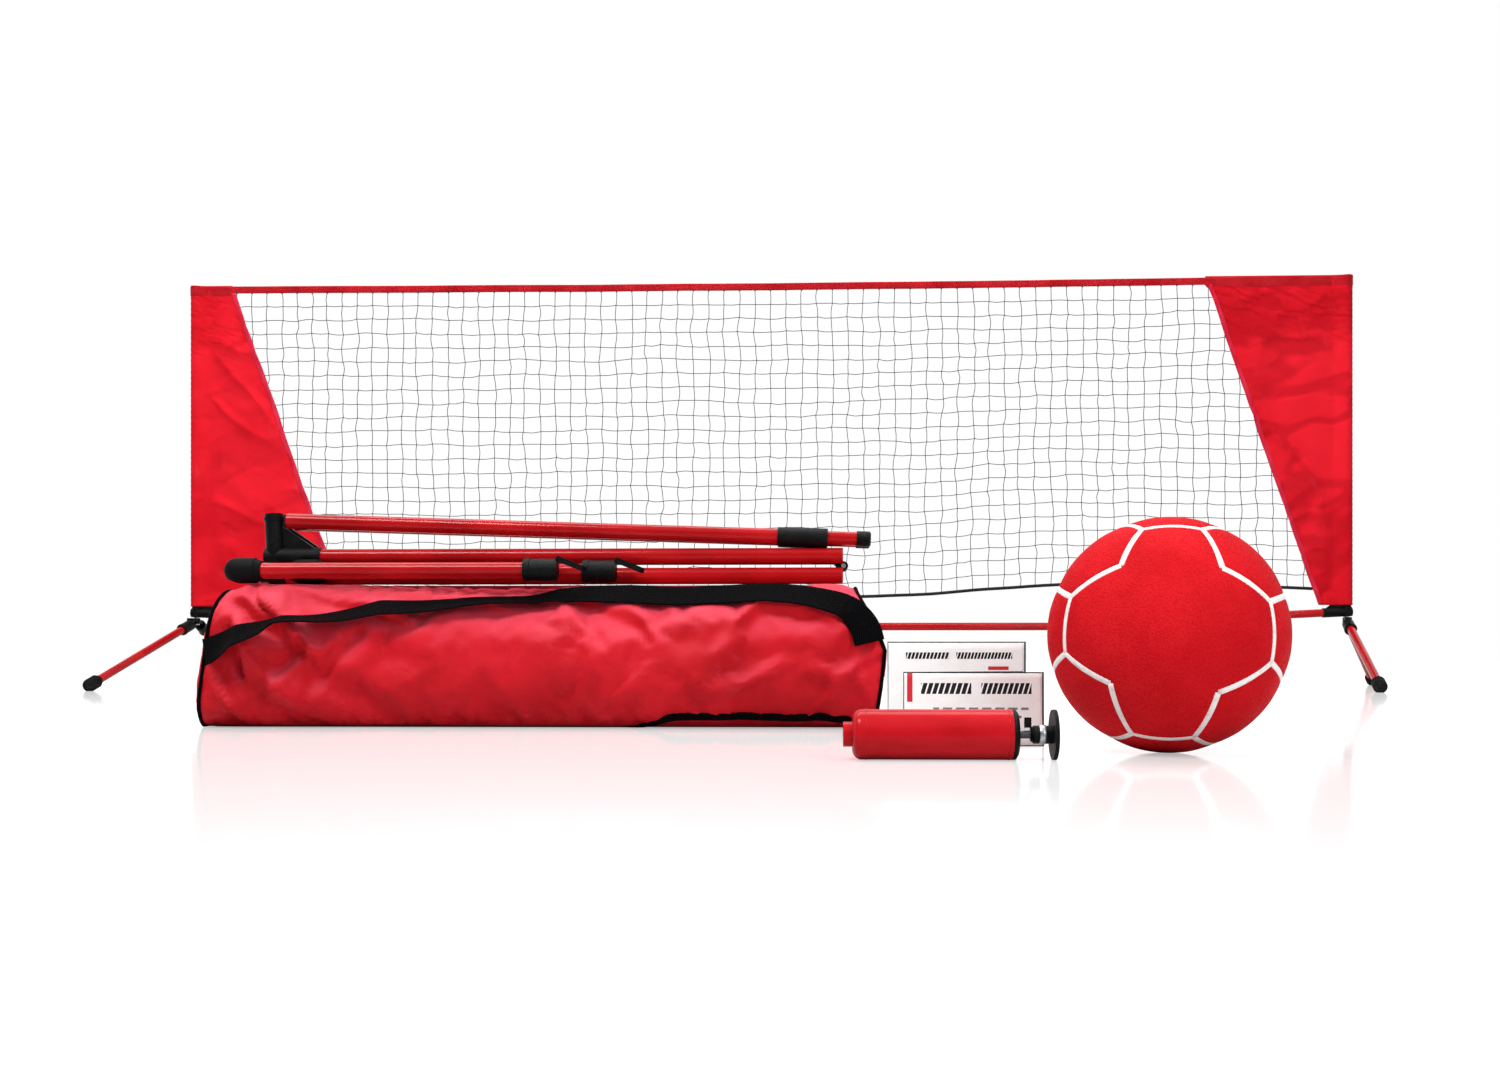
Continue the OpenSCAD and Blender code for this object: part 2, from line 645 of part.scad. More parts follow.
/* Bag, its zip on the back and the webbing strap over its front edge */
module bag_corner(z, r) {
  for (x = [-1, 1], y = [-1, 1])
    translate([x * (bag_len / 2 - r), y * (bag_depth / 2 - r), z]) sphere(r = r, $fn = 32);
}
module bag_shell() {
  color(red) at_bag() intersection() {
    hull() {
      bag_corner(bag_round_low, bag_round_low + 0.5);
      bag_corner(bag_h - bag_round_up, bag_round_up + 0.5);
    }
    translate([-bag_len / 2, -bag_depth / 2, 0]) cube([bag_len, bag_depth, bag_h]);
  }
}
zip_z = (bag_round_low + bag_h - bag_round_up) / 2;
module bag_zip() {
  color(black) at_bag() translate([-zip_len / 2, bag_depth / 2 + seat_gap, zip_z - zip_w / 2])
    cube([zip_len, zip_t, zip_w]);
}
module zip_slider() {
  color(steel) at_bag() translate([-zip_len / 2 + 20, bag_depth / 2 + 2 * seat_gap + zip_t, zip_z]) {
    translate([-8, 0, -5]) cube([16, 4, 10]);
    translate([-8, 4, -2.5]) cube([10, 2, 5]);
    difference() {
      translate([-3, 4.4, -30]) cube([7, 1.6, 29]);
      translate([0.5, 7, -25]) rotate([90, 0, 0]) cylinder(h = 4, r = 1.8);
    }
  }
}
// Stations of the strap: place along the bag, lean of the webbing, turn round the bag's corner
strap_stations = [[-1, 80, -45], [-1, 78, -22], [-1, 74, 0], [-0.9, 65, 0], [-0.75, 54, 0], [-0.4, 44, 0],
                  [0.1, 41, 0], [0.6, 44, 0], [0.82, 52, 0], [0.93, 62, 0], [1, 70, 0], [1, 76, 20],
                  [1, 80, 40], [1, 83, 60], [1, 84, 75]];
// Lift of the strap over the bag's cloth
strap_lift = 2.6;
// Length of the strap's piece at one station
strap_step = 1;
module strap_station(s) {
  reach = bag_round_up + strap_lift + strap_t / 2;
  n = [sin(s[1]) * sin(s[2]), -sin(s[1]) * cos(s[2]), cos(s[1])];
  c = [s[0] * (bag_len / 2 - bag_round_up), bag_round_up - bag_depth / 2, bag_h - bag_round_up];
  translate(c + reach * n) rotate([0, 0, s[2]]) rotate([s[1], 0, 0]) cube([strap_step, strap_w, strap_t], center = true);
}
module bag_strap() {
  color(black) at_bag() for (i = [0 : len(strap_stations) - 2])
    hull() {
      strap_station(strap_stations[i]);
      strap_station(strap_stations[i + 1]);
    }
}

/* Ball: cover, bladder and valve */
module at_ball() { at_net() translate([ball_place.x, ball_place.y, ball_r]) children(); }
module at_valve() { rotate([-60, 0, -20]) children(); }
bladder_r = ball_r - cover_t - seat_gap;
module ball_cover() {
  color(red) at_ball() difference() {
    sphere(r = ball_r);
    sphere(r = ball_r - cover_t);
    at_valve() cylinder(h = 2 * ball_r, r = valve_r + run_clear);
  }
}
module ball_bladder() {
  color(black) at_ball() difference() {
    sphere(r = bladder_r);
    sphere(r = bladder_r - bladder_t);
    at_valve() cylinder(h = 2 * ball_r, r = valve_r + run_clear);
  }
}
module ball_valve() {
  color(black) at_ball() at_valve() translate([0, 0, ball_r - 0.5 - valve_len]) difference() {
    cylinder(h = valve_len, r = valve_r);
    translate([0, 0, -1]) cylinder(h = valve_len + 2, r = needle_r);
  }
}

/* Pump: the barrel's neck points to -X */
module at_pump() { at_net() translate([pump_place.x - pump_len / 2, pump_place.y, pump_r]) along_x() children(); }
module pump_barrel() {
  color(red) at_pump() difference() {
    union() {
      rotate_extrude() intersection() {
        union() {
          translate([0, barrel_round]) square([pump_r, pump_len - barrel_round]);
          square([pump_r - barrel_round, pump_len]);
          translate([pump_r - barrel_round, barrel_round]) circle(r = barrel_round);
        }
        square([pump_r, pump_len]);
      }
      translate([0, 0, -neck_len]) cylinder(h = neck_len + 1, r = neck_r);
    }
    translate([0, 0, piston_at - 8]) cylinder(h = pump_len, r = pump_r - pump_wall);
    translate([0, 0, -neck_len - 1]) cylinder(h = neck_len + 2 + piston_at, r = socket_r);
  }
}
module pump_end_cap() {
  color(black) at_pump() translate([0, 0, pump_len + 0.1]) difference() {
    union() {
      cylinder(h = end_cap_t - 2, r = pump_r);
      translate([0, 0, end_cap_t - 2]) cylinder(h = 2, r1 = pump_r, r2 = pump_r - 3);
    }
    translate([0, 0, -1]) cylinder(h = end_cap_t + 2, r = rod_r + run_clear);
  }
}
rod_top = pump_len + end_cap_t + rod_out;
module pump_rod() {
  color(steel) at_pump() {
    translate([0, 0, piston_at]) cylinder(h = rod_top + stem_len - 4 - piston_at, r = rod_r);
    translate([0, 0, piston_at]) cylinder(h = 9, r = pump_r - pump_wall - run_clear);
  }
}
module pump_handle() {
  color(black) at_pump() translate([0, 0, rod_top]) difference() {
    union() {
      cylinder(h = 3, r1 = rod_r + 2, r2 = stem_r);
      translate([0, 0, 3]) cylinder(h = stem_len - 3, r = stem_r);
      translate([0, 0, stem_len]) cylinder(h = disc_t, r = disc_r);
      translate([-stem_r - 7, -1.2, -5]) cube([9, 2.4, 6]);
    }
    translate([0, 0, -6]) cylinder(h = stem_len + 2, r = rod_r + run_clear);
  }
}

/* Leaflets: a folded card that stands on its edge, its fold on the left */
module leaflet(place, card) {
  at_net() translate([place.x - card.x / 2, place.y, 0]) linear_extrude(card.y) {
    translate([0, -card_t / 2]) square([card.x, card_t]);
    rotate(card_open) translate([0, -card_t / 2]) square([card.x, card_t]);
    circle(d = card_t, $fn = 24);
  }
}
module leaflet_front() { color(white) leaflet(front_card_place, front_card); }
module leaflet_rear() { color(white) leaflet(rear_card_place, rear_card); }

upright_tubes();
upright_collars();
upright_extensions();
upright_caps();
hubs();
base_tubes();
base_hinges();
frame_pins();
leg_front_left();
leg_front_right();
leg_rear_left();
leg_rear_right();
knuckle_front_left();
knuckle_front_right();
knuckle_rear_left();
knuckle_rear_right();
foot_front_left();
foot_front_right();
foot_rear_left();
foot_rear_right();
panel_left();
panel_right();
top_tape();
bottom_cord();
net_mesh();
fold_tube_1();
fold_tube_2();
fold_tube_3();
fold_tube_4();
fold_lugs_1();
fold_lugs_2();
fold_lugs_3();
fold_lugs_4();
fold_pins_2();
fold_pins_3();
fold_hub_1();
fold_hub_4();
stowed_leg_tubes();
stowed_knuckles();
stowed_feet();
pole_tube_1();
pole_tube_4();
pole_collar_1();
pole_collar_4();
pole_extension_1();
pole_extension_4();
bag_shell();
bag_zip();
zip_slider();
bag_strap();
ball_cover();
ball_bladder();
ball_valve();
pump_barrel();
pump_end_cap();
pump_rod();
pump_handle();
leaflet_front();
leaflet_rear();
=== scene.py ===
import json
from math import acos, cos, dist, hypot, pi, radians, sin, sqrt

import bmesh
import bpy
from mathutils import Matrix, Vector, noise
from mathutils.bvhtree import BVHTree
from mathutils.kdtree import KDTree


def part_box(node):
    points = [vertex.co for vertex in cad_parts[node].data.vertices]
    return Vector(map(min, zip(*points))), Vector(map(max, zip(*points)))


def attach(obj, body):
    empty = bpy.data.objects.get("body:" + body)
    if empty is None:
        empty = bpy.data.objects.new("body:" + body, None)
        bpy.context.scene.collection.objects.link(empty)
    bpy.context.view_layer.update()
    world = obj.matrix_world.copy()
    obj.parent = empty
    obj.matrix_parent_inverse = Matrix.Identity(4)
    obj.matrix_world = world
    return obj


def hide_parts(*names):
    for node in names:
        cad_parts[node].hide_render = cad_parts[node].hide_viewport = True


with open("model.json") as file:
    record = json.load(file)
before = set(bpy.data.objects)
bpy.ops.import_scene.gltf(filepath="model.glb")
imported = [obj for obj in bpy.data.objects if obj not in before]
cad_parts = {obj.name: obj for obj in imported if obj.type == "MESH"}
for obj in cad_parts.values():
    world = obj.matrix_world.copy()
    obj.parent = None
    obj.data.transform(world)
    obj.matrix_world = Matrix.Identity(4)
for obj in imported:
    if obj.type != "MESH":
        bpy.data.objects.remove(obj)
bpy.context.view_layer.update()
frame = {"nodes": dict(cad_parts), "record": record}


# ---- shader maths
def maths(operation):
    """A method of Field that adds one Math node."""
    return lambda self, *others: self.nodes.node("Math", {"operation": operation}, self, *others)


class Field:
    """One shader socket. Arithmetic on it adds Math nodes."""

    def __init__(self, nodes, socket):
        self.nodes, self.socket = nodes, socket

    __add__ = __radd__ = maths("ADD")
    __mul__ = __rmul__ = maths("MULTIPLY")
    __sub__, __abs__ = maths("SUBTRACT"), maths("ABSOLUTE")
    sin, fract, most = maths("SINE"), maths("FRACT"), maths("MAXIMUM")
    above, below = maths("GREATER_THAN"), maths("LESS_THAN")

    def __rsub__(self, other):
        return self.nodes.node("Math", {"operation": "SUBTRACT"}, other, self)

    def between(self, low, high):
        """1 from low to high, 0 elsewhere."""
        return self.above(low) * self.below(high)

    def rise(self, low, high, to_low=0.0, to_high=1.0):
        """Smooth step from low to high, clamped."""
        smooth = {"interpolation_type": "SMOOTHSTEP"}
        return self.nodes.node("MapRange", smooth, self, low, high, to_low, to_high)


def srgb(r, g, b):
    """Linear colour from 0-255 screen values."""
    channels = (c / 255 / 12.92 if c <= 10 else ((c / 255 + 0.055) / 1.055) ** 2.4 for c in (r, g, b))
    return tuple(channels) + (1.0,)


class Nodes:
    """A node tree: node() makes any node and gives one of its outputs."""

    def __init__(self, tree):
        self.tree = tree

    def feed(self, socket, value):
        if isinstance(value, Field):
            self.tree.links.new(value.socket, socket)
        else:
            socket.default_value = value

    def node(self, kind, settings=None, *inputs, out=0, **named):
        made = self.tree.nodes.new("ShaderNode" + kind)
        for name, value in (settings or {}).items():
            setattr(made, name, value)
        for socket, value in zip(made.inputs, inputs):
            self.feed(socket, value)
        for name, value in named.items():
            self.feed(made.inputs[name.replace("_", " ")], value)
        return Field(self, made.outputs[out])

    def place(self):
        return self.node("TexCoord", out="Object")

    def axes(self, vector=None):
        split = self.tree.nodes.new("ShaderNodeSeparateXYZ")
        self.feed(split.inputs[0], vector or self.place())
        return [Field(self, split.outputs[i]) for i in range(3)]

    def point(self, x, y, z):
        return self.node("CombineXYZ", None, x, y, z)

    def noise(self, scale, detail=3.0, rough=0.5, at=None):
        at = at or self.place()
        return self.node("TexNoise", None, Vector=at, Scale=scale, Detail=detail, Roughness=rough)

    def cells(self, scale):
        return self.node("TexVoronoi", None, Vector=self.place(), Scale=scale)

    def blend(self, amount, first, second):
        """Mix of two colours, each a field or 0-255 screen values."""
        made = self.tree.nodes.new("ShaderNodeMix")
        made.data_type = "RGBA"
        self.feed(made.inputs["Factor"], amount)
        for socket, color in ((6, first), (7, second)):
            self.feed(made.inputs[socket], color if isinstance(color, Field) else srgb(*color))
        return Field(self, made.outputs[2])


class Paint(Nodes):
    def __init__(self, name, **constant):
        self.material = bpy.data.materials.new(name)
        self.material.use_nodes = True
        super().__init__(self.material.node_tree)
        self.surface = self.tree.nodes["Principled BSDF"]
        for socket, value in constant.items():
            self.surface.inputs[socket.replace("_", " ")].default_value = value

    def tones(self, field, first, second):
        """A slow change between two colours."""
        return self.blend(field.rise(0.3, 0.7), first, second)

    def finish(self, color, rough, height=None, depth=0.001):
        inputs = self.surface.inputs
        self.feed(inputs["Base Color"], color)
        self.feed(inputs["Roughness"], rough)
        if height is not None:
            bump = self.node("Bump", None, Height=height, Distance=depth, Strength=1.0)
            self.feed(inputs["Normal"], bump)
        return self.material


# ---- finishes
def tube_enamel():
    """Red enamel on steel tube: faint orange peel, a few dull scuffs."""
    p = Paint("tube_enamel", Coat_Weight=0.8, Coat_Roughness=0.06, Coat_IOR=1.27, IOR=1.2,
              Specular_IOR_Level=0.1)
    x, y, z = p.axes()
    scuffs = p.noise(60, 5, 0.65, p.point(x * 0.25, y * 2, z * 2)).rise(0.60, 0.72)
    tone = p.noise(9, 2)
    color = p.tones(tone, (160, 14, 19), (186, 22, 27))
    color = p.blend(scuffs * 0.35, color, (112, 12, 16))
    return p.finish(color, 0.24 + 0.3 * scuffs, p.noise(260, 2) * 0.4 + scuffs * -0.6, 0.00007)


def moulded_plastic():
    """Black moulded plastic with a fine spark texture and greyish rubbed spots."""
    p = Paint("moulded_plastic", IOR=1.35, Specular_IOR_Level=0.2)
    rub = p.noise(38, 4, 0.6).rise(0.52, 0.75)
    grain = p.cells(900)
    color = p.blend(rub * 0.5, (7, 9, 9), (24, 30, 29))
    return p.finish(color, 0.36 + 0.18 * rub + 0.1 * grain, grain + p.noise(250, 2) * 0.6, 0.00035)


def foot_rubber():
    """Black rubber, dusty towards the ground."""
    p = Paint("foot_rubber", IOR=1.25, Specular_IOR_Level=0.15)
    x, y, z = p.axes()
    dust = (1 - z.rise(0.0, 0.03)) * p.noise(160, 4, 0.6).rise(0.35, 0.7)
    color = p.blend(dust * 0.5, (18, 18, 19), (74, 70, 66))
    return p.finish(color, 0.58 + 0.3 * dust, p.noise(300, 3), 0.0004)


def pin_steel(name, dark):
    """Drawn steel with fine lines along it, bright or dulled."""
    p = Paint(name, Metallic=1.0)
    x, y, z = p.axes()
    lines = p.noise(900, 3, 0.6, p.point(x * 0.1, y, z))
    light, shade = ((84, 86, 90), (71.5, 73.2, 76.7)) if dark else ((196, 198, 202), (169.1, 170.9, 174.4))
    color = p.tones(lines, light, shade)
    return p.finish(color, 0.22 + 0.2 * lines, lines, 0.0002)


def pump_shell():
    """Glossy red moulding with a faint flow pattern."""
    p = Paint("pump_gloss", Coat_Weight=0.5, Coat_Roughness=0.08, Coat_IOR=1.25, IOR=1.2,
              Specular_IOR_Level=0.1)
    x, y, z = p.axes()
    flow = p.noise(22, 3, 0.6, p.point(x * 0.4, y, z))
    color = p.tones(flow, (172, 16, 24), (194, 24, 34))
    return p.finish(color, 0.3 + 0.12 * flow, p.noise(500, 2), 0.00025)


finishes = {
    "red_paint": tube_enamel(), "black_plastic": moulded_plastic(), "foot_rubber": foot_rubber(),
    "steel": pin_steel("pin_steel", False), "pump_steel": pin_steel("pump_steel", True),
    "pump_red": pump_shell(),
}
finishes["bladder_rubber"] = finishes["foot_rubber"]
slot_of = {part["node"]: part["material_slot"] for part in frame["record"]["subparts"]}
for name, solid in frame["nodes"].items():
    for place in solid.material_slots:
        place.material = finishes.get(slot_of[name], place.material)


# the stowed poles' end caps
cap_length = 0.019
for name in ("pole_extension_1", "pole_extension_4"):
    mesh, end = frame["nodes"][name].data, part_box(name)[1][0] - cap_length
    mesh.materials.append(finishes["black_plastic"])
    place = frame["nodes"][name].matrix_world
    for face in mesh.polygons:
        if min((place @ mesh.vertices[k].co).x for k in face.vertices) > end:
            face.material_index = len(mesh.materials) - 1


# ---- shape helpers
def wave(x, y, z, size, seed=0.0):
    """Smooth noise from -1 to 1 with features of about that size in metres."""
    return noise.noise(Vector((x / size + seed * 7.3, y / size - seed * 3.1, z / size + seed * 5.7)))


def ridge(a, b, lean, size, seed):
    """Thin crests from 0 to 1 that run along a direction, with broad hollows between them."""
    c, s = cos(lean), sin(lean)
    n = wave((a * c + b * s) * 0.36, 0, b * c - a * s, size, seed)
    return max(0.0, 1 - abs(n) * 3.2) ** 1.6


def ease(t):
    t = min(1.0, max(0.0, t))
    return t * t * (3 - 2 * t)


def added(name, data):
    """A new object in the scene."""
    made = bpy.data.objects.new(name, data)
    bpy.context.collection.objects.link(made)
    return made


def piece(name, points, faces, paint, body="set_base"):
    """A smooth mesh object in the set's own frame that rides on a body."""
    mesh = bpy.data.meshes.new(name)
    mesh.from_pydata([tuple(p) for p in points], [], faces)
    mesh.update()
    mesh.polygons.foreach_set("use_smooth", [True] * len(mesh.polygons))
    mesh.materials.append(paint)
    made = added(name, mesh)
    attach(made, body)
    return made


def thicken(made, thickness, offset=0):
    """Gives a sheet its thickness, on both sides of it or, with offset 1, outside it."""
    solid = made.modifiers.new("thickness", "SOLIDIFY")
    solid.thickness, solid.offset = thickness, offset


def face_out(made, merge=False):
    """Turns all faces outwards, after joining points that share a place if asked to."""
    work = bmesh.new()
    work.from_mesh(made.data)
    if merge:
        bmesh.ops.remove_doubles(work, verts=work.verts, dist=1e-6)
    bmesh.ops.recalc_face_normals(work, faces=work.faces)
    work.to_mesh(made.data)
    work.free()


def lattice(rows, columns, around=False, start=0):
    """Quads over a grid of points stored row by row; around joins the last column to the first."""
    faces = []
    for r in range(rows - 1):
        for c in range(columns if around else columns - 1):
            a, b = start + r * columns + c, start + r * columns + (c + 1) % columns
            faces.append((a, b, b + columns, a + columns))
    return faces


def tube(rows, columns, start=0, flipped=False):
    """Faces of a grid of points that is joined around and closed at both ends."""
    first = [start + k for k in range(columns)]
    last = [k + (rows - 1) * columns for k in first]
    (last if flipped else first).reverse()
    return lattice(rows, columns, True, start) + [tuple(first), tuple(last)]


def heading(route, k):
    """The direction of a route at one of its points."""
    return (route[min(k + 1, len(route) - 1)] - route[max(k - 1, 0)]).normalized()


def swept(route, outline, up=Vector((0, 0, 1)), start=0, shape=None):
    """Points and faces of a closed outline carried along a route. shape(i, u) gives its scale there."""
    route = [Vector(p) for p in route]
    points, side = [], None
    for i, at in enumerate(route):
        ahead = heading(route, i)
        side = ahead.cross(up if side is None else side.cross(ahead))
        side = side.normalized() if side.length > 1e-6 else Vector((1, 0, 0))
        top = side.cross(ahead).normalized()
        scale = shape(i, i / (len(route) - 1)) if shape else 1.0
        points += [at + side * (a * scale) + top * (b * scale) for a, b in outline]
    return points, tube(len(route), len(outline), start)


def add_swept(points, faces, *form, **more):
    """Adds a swept form to the points and faces of a piece in the making."""
    new_points, new_faces = swept(*form, start=len(points), **more)
    points.extend(new_points)
    faces.extend(new_faces)


def ring(radius, sides, tall=1.0):
    turns = [2 * pi * k / sides for k in range(sides)]
    return [(radius * cos(turn), radius * tall * sin(turn)) for turn in turns]


def path_length(path):
    return sum(dist(a, b) for a, b in zip(path, path[1:]))


def walked(path, distances):
    """The places at rising distances along a path of straight lines."""
    lengths = [dist(a, b) for a, b in zip(path, path[1:])]
    k, base, out = 0, 0.0, []
    for distance in distances:
        while k < len(lengths) - 1 and distance > base + lengths[k] + 1e-12:
            base += lengths[k]
            k += 1
        t = (distance - base) / max(lengths[k], 1e-9)
        out.append(tuple(a + (b - a) * t for a, b in zip(path[k], path[k + 1])))
    return out


def softened(values, times):
    """A row of numbers or vectors whose inner members are averaged with their neighbours."""
    for _ in range(times):
        inner = [(a + b * 2 + c) / 4 for a, b, c in zip(values, values[1:], values[2:])]
        values = [values[0]] + inner + [values[-1]]
    return values


# ---- net
def panel_nylon():
    """Coated red nylon: fine plain weave, soft creases with a painted highlight on their crests, long folds
    with painted shade in their hollows.
    """
    p = Paint("panel_nylon", IOR=1.22, Specular_IOR_Level=0.1)
    x, y, z = p.axes()
    weave = (x * 5200).sin() * (z * 5200).sin()
    tone = p.noise(5, 3, 0.55)
    crease = p.noise(24, 4, 0.6, p.point(x + z * 0.4, y, z * 0.45))
    # long pull folds that run out from the poles, and sharper wrinkles under the tape
    along = p.point(x * 0.55 + z * 0.35, y, z * 1.5 - x * 0.5)
    pull = 1 - abs(p.noise(7, 2, 0.45, along) - 0.5) * 7
    along = p.point(x * 0.5 - z * 0.25, y, z * 1.7 + x * 0.6)
    gather = 1 - abs(p.noise(16, 2, 0.5, along) - 0.5) * 6
    folds = pull.rise(0.1, 1.0) + gather.rise(0.2, 1.0) * z.rise(0.80, 1.0, 0.15, 0.9)
    color = p.tones(tone, (218, 22, 36), (240, 33, 48))
    # painted shade: the long folds' hollows are darkened, weaker towards the left
    color = p.blend(folds.rise(0.25, 1.2) * x.rise(-1.0, 1.0, 0.20, 0.45), color, (170, 12, 24))
    # painted highlight: pale pink where the crease bump is raised
    color = p.blend(crease.rise(0.58, 0.8) * 0.3, color, (246, 74, 88))
    return p.finish(color, 0.5 + 0.14 * tone, weave * 0.35 + crease * 3.0 - folds * 5.0, 0.0006)


def band_cloth(name, dark, light, ribs):
    """Woven edge binding with crossed ribs."""
    p = Paint(name, IOR=1.22, Specular_IOR_Level=0.1)
    x, y, z = p.axes()
    weave = ((x + z) * ribs).sin() * ((x - z) * ribs).sin()
    tone = p.noise(14, 3)
    color = p.tones(tone, dark, light)
    return p.finish(color, 0.62 + 0.12 * tone, weave + p.noise(70, 3) * 1.5, 0.0005)


def net_twine():
    """Grey twisted twine."""
    p = Paint("net_twine")
    x, y, z = p.axes()
    lay = ((x + z * 1.4) * 2600).sin()
    color = p.blend(lay.rise(-1, 1), (38, 38, 41), (82, 82, 86))
    return p.finish(color, 0.75 + 0.1 * lay, lay, 0.0003)


def braid():
    """Black braided cord."""
    p = Paint("cord_braid", Specular_IOR_Level=0.12)
    x, y, z = p.axes()
    plait = ((x + z * 2) * 900).sin() * ((x - z * 2 + y * 2) * 900).sin()
    color = p.blend(plait.rise(-0.6, 0.8), (16, 16, 18), (52, 52, 56))
    return p.finish(color, 0.6 + 0.15 * plait, plait, 0.0006)


panel_red, cord_black, twine_grey = panel_nylon(), braid(), net_twine()
hem_pink = band_cloth("hem_binding", (238, 36, 62), (250, 60, 88), 3300)
tape_red = band_cloth("tape_binding", (204, 28, 38), (226, 44, 54), 3000)
seam_thread = band_cloth("seam_thread", (150, 14, 26), (176, 22, 34), 9000)

upright_low, upright_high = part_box("upright_tubes")
upright_radius = 0.010
left_x, right_x = upright_low[0] + upright_radius, upright_high[0] - upright_radius
net_y = (upright_low[1] + upright_high[1]) / 2
net_top, net_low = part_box("panel_left")[1][2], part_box("panel_left")[0][2]
panel_rise = net_top - net_low
left_top, left_low = left_x + 0.095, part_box("panel_left")[1][0]
right_top, right_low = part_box("panel_right")[0][0], right_x - 0.070
tape_tall = 0.020
sleeve_reach = 0.036
cord_radius = 0.004
mesh_rows, mesh_step, twine_radius = 22, 0.040, 0.00095
# the hub's web between the doubled cloth: its top, its end and half its thickness
web_top, web_end, web_half = 0.245, 0.066, 0.0052


def inner_edge(low, top):
    """A panel's inner edge, as its x at a height."""
    return lambda z: low + (top - low) * (z - net_low) / panel_rise


left_edge, right_edge = inner_edge(left_low, left_top), inner_edge(right_low, right_top)


def tape_z(x):
    """Top line of the tape, with a little droop between the uprights."""
    u = (x - left_x) / (right_x - left_x)
    return net_top - 0.0005 - 0.006 * sin(pi * min(1, max(0, u))) + 0.0012 * wave(x, 0, 0, 0.3, 2)


def panel_waves(side, across, z):
    """How far the cloth stands out at a distance from the pole: long folds that lean with the inner edge."""
    up = (z - net_low) / panel_rise
    lean = across + 0.34 * (z - net_low)
    fold = 0.0065 * wave(lean, 0, z * 0.35, 0.075, 3 + side) + 0.005 * wave(across, 0, z, 0.19, 8 + side)
    steep = 1.05 if side > 0 else 1.25
    crest = 0.0085 * ridge(across, z, 0.75 * side, 0.100, 3 + side)
    crest += 0.0075 * ridge(across, z, steep, 0.085, 6 - side) * ease((up - 0.55) / 0.3)
    crest += 0.0040 * ridge(across, z, -0.5, 0.055, 9 + side) * ease((0.45 - up) / 0.25)
    droop = 0.005 * max(0, wave(across * 0.8 + z, 0, z * 0.5, 0.05, 5 - side)) * (1 - up)
    return (fold + droop - crest) * ease((across - 0.028) / 0.05) * ease((net_top - 0.018 - z) / 0.05)


def sleeve_profile(radius, gap):
    """The cloth's section round the upright and back: (distance from the pole, distance out)."""
    entry = []
    for a in (0.032, 0.028, 0.024, 0.020, 0.016, 0.012, 0.008, 0.004):
        entry.append((a, -gap - (radius - gap) * ease((sleeve_reach - a) / sleeve_reach)))
    turns = [-pi / 2 - pi * k / 18 for k in range(19)]
    return entry + [(radius * cos(t), radius * sin(t)) for t in turns] + [(a, -b) for a, b in reversed(entry)]


def net_panel(side, edge, x, node):
    """Doubled cloth folded round the upright: inner edge, front layer, sleeve, back layer."""
    rows, flat, crown_tall = 150, 34, 0.006
    points = []
    for r in range(rows):
        z = net_low + panel_rise * r / (rows - 1)
        wide = abs(edge(z) - x)
        crown = max(0.0, (z - (net_top - crown_tall)) / crown_tall)
        gap = 0.0013 * (1 - 0.7 * crown)
        front = [(wide + (sleeve_reach - wide) * (k / (flat - 1)) ** 0.9, -gap) for k in range(flat)]
        sleeve = 0.0146 * sqrt(max(0.02, 1 - crown * crown * 0.96)) + 0.0004 * sin(z * 420) * (1 - crown)
        section = front + sleeve_profile(sleeve, gap) + [(a, -b) for a, b in reversed(front)]
        for across, out in section:
            room = web_half * ease((web_top - z) / 0.010) * ease((web_end - across) / 0.014) * (across > 0)
            out = out if abs(out) > room else room * (-1 if out < 0 else 1)
            points.append((x - side * across, net_y + out + panel_waves(side, across, z), z))
    made = piece(node + "_cloth", points, lattice(rows, len(section)), panel_red)
    thicken(made, 0.0005)
    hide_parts(node)
    return made


def panel_hem(side, edge, x, name):
    """Binding folded and sewn over the panel's inner edge."""
    rows, points = 220, []
    fold = ((0.0100, 0.0019), (0.0092, 0.0025), (0.0055, 0.0027), (0.0015, 0.0025), (-0.0012, 0.0012))
    section = [(along, -out) for along, out in fold] + list(reversed(fold))
    for r in range(rows):
        z = net_low + 0.0015 + (panel_rise - tape_tall) * (r / (rows - 1))
        wide = abs(edge(z) - x)
        for along, out in section:
            across = wide - along
            y = net_y + out + panel_waves(side, min(across, wide), z) + 0.0004 * sin(z * 700)
            points.append((x - side * across, y, z))
    made = piece(name, points, lattice(rows, len(section)), hem_pink)
    thicken(made, 0.0004, 1)
    return made


def stitch_row(name, path, paint):
    """A row of short raised stitches along a path."""
    long, gap, radius = 0.0035, 0.002, 0.00035
    marks = [(long + gap) * k for k in range(int(path_length(path) / (long + gap)))]
    points, faces = [], []
    for a, b in zip(walked(path, marks), walked(path, [m + long for m in marks])):
        middle = [(p + q) / 2 for p, q in zip(a, b)]
        add_swept(points, faces, [a, middle, b], ring(radius, 4), shape=lambda i, u: 0.55 if i != 1 else 1.0)
    piece(name, points, faces, paint)


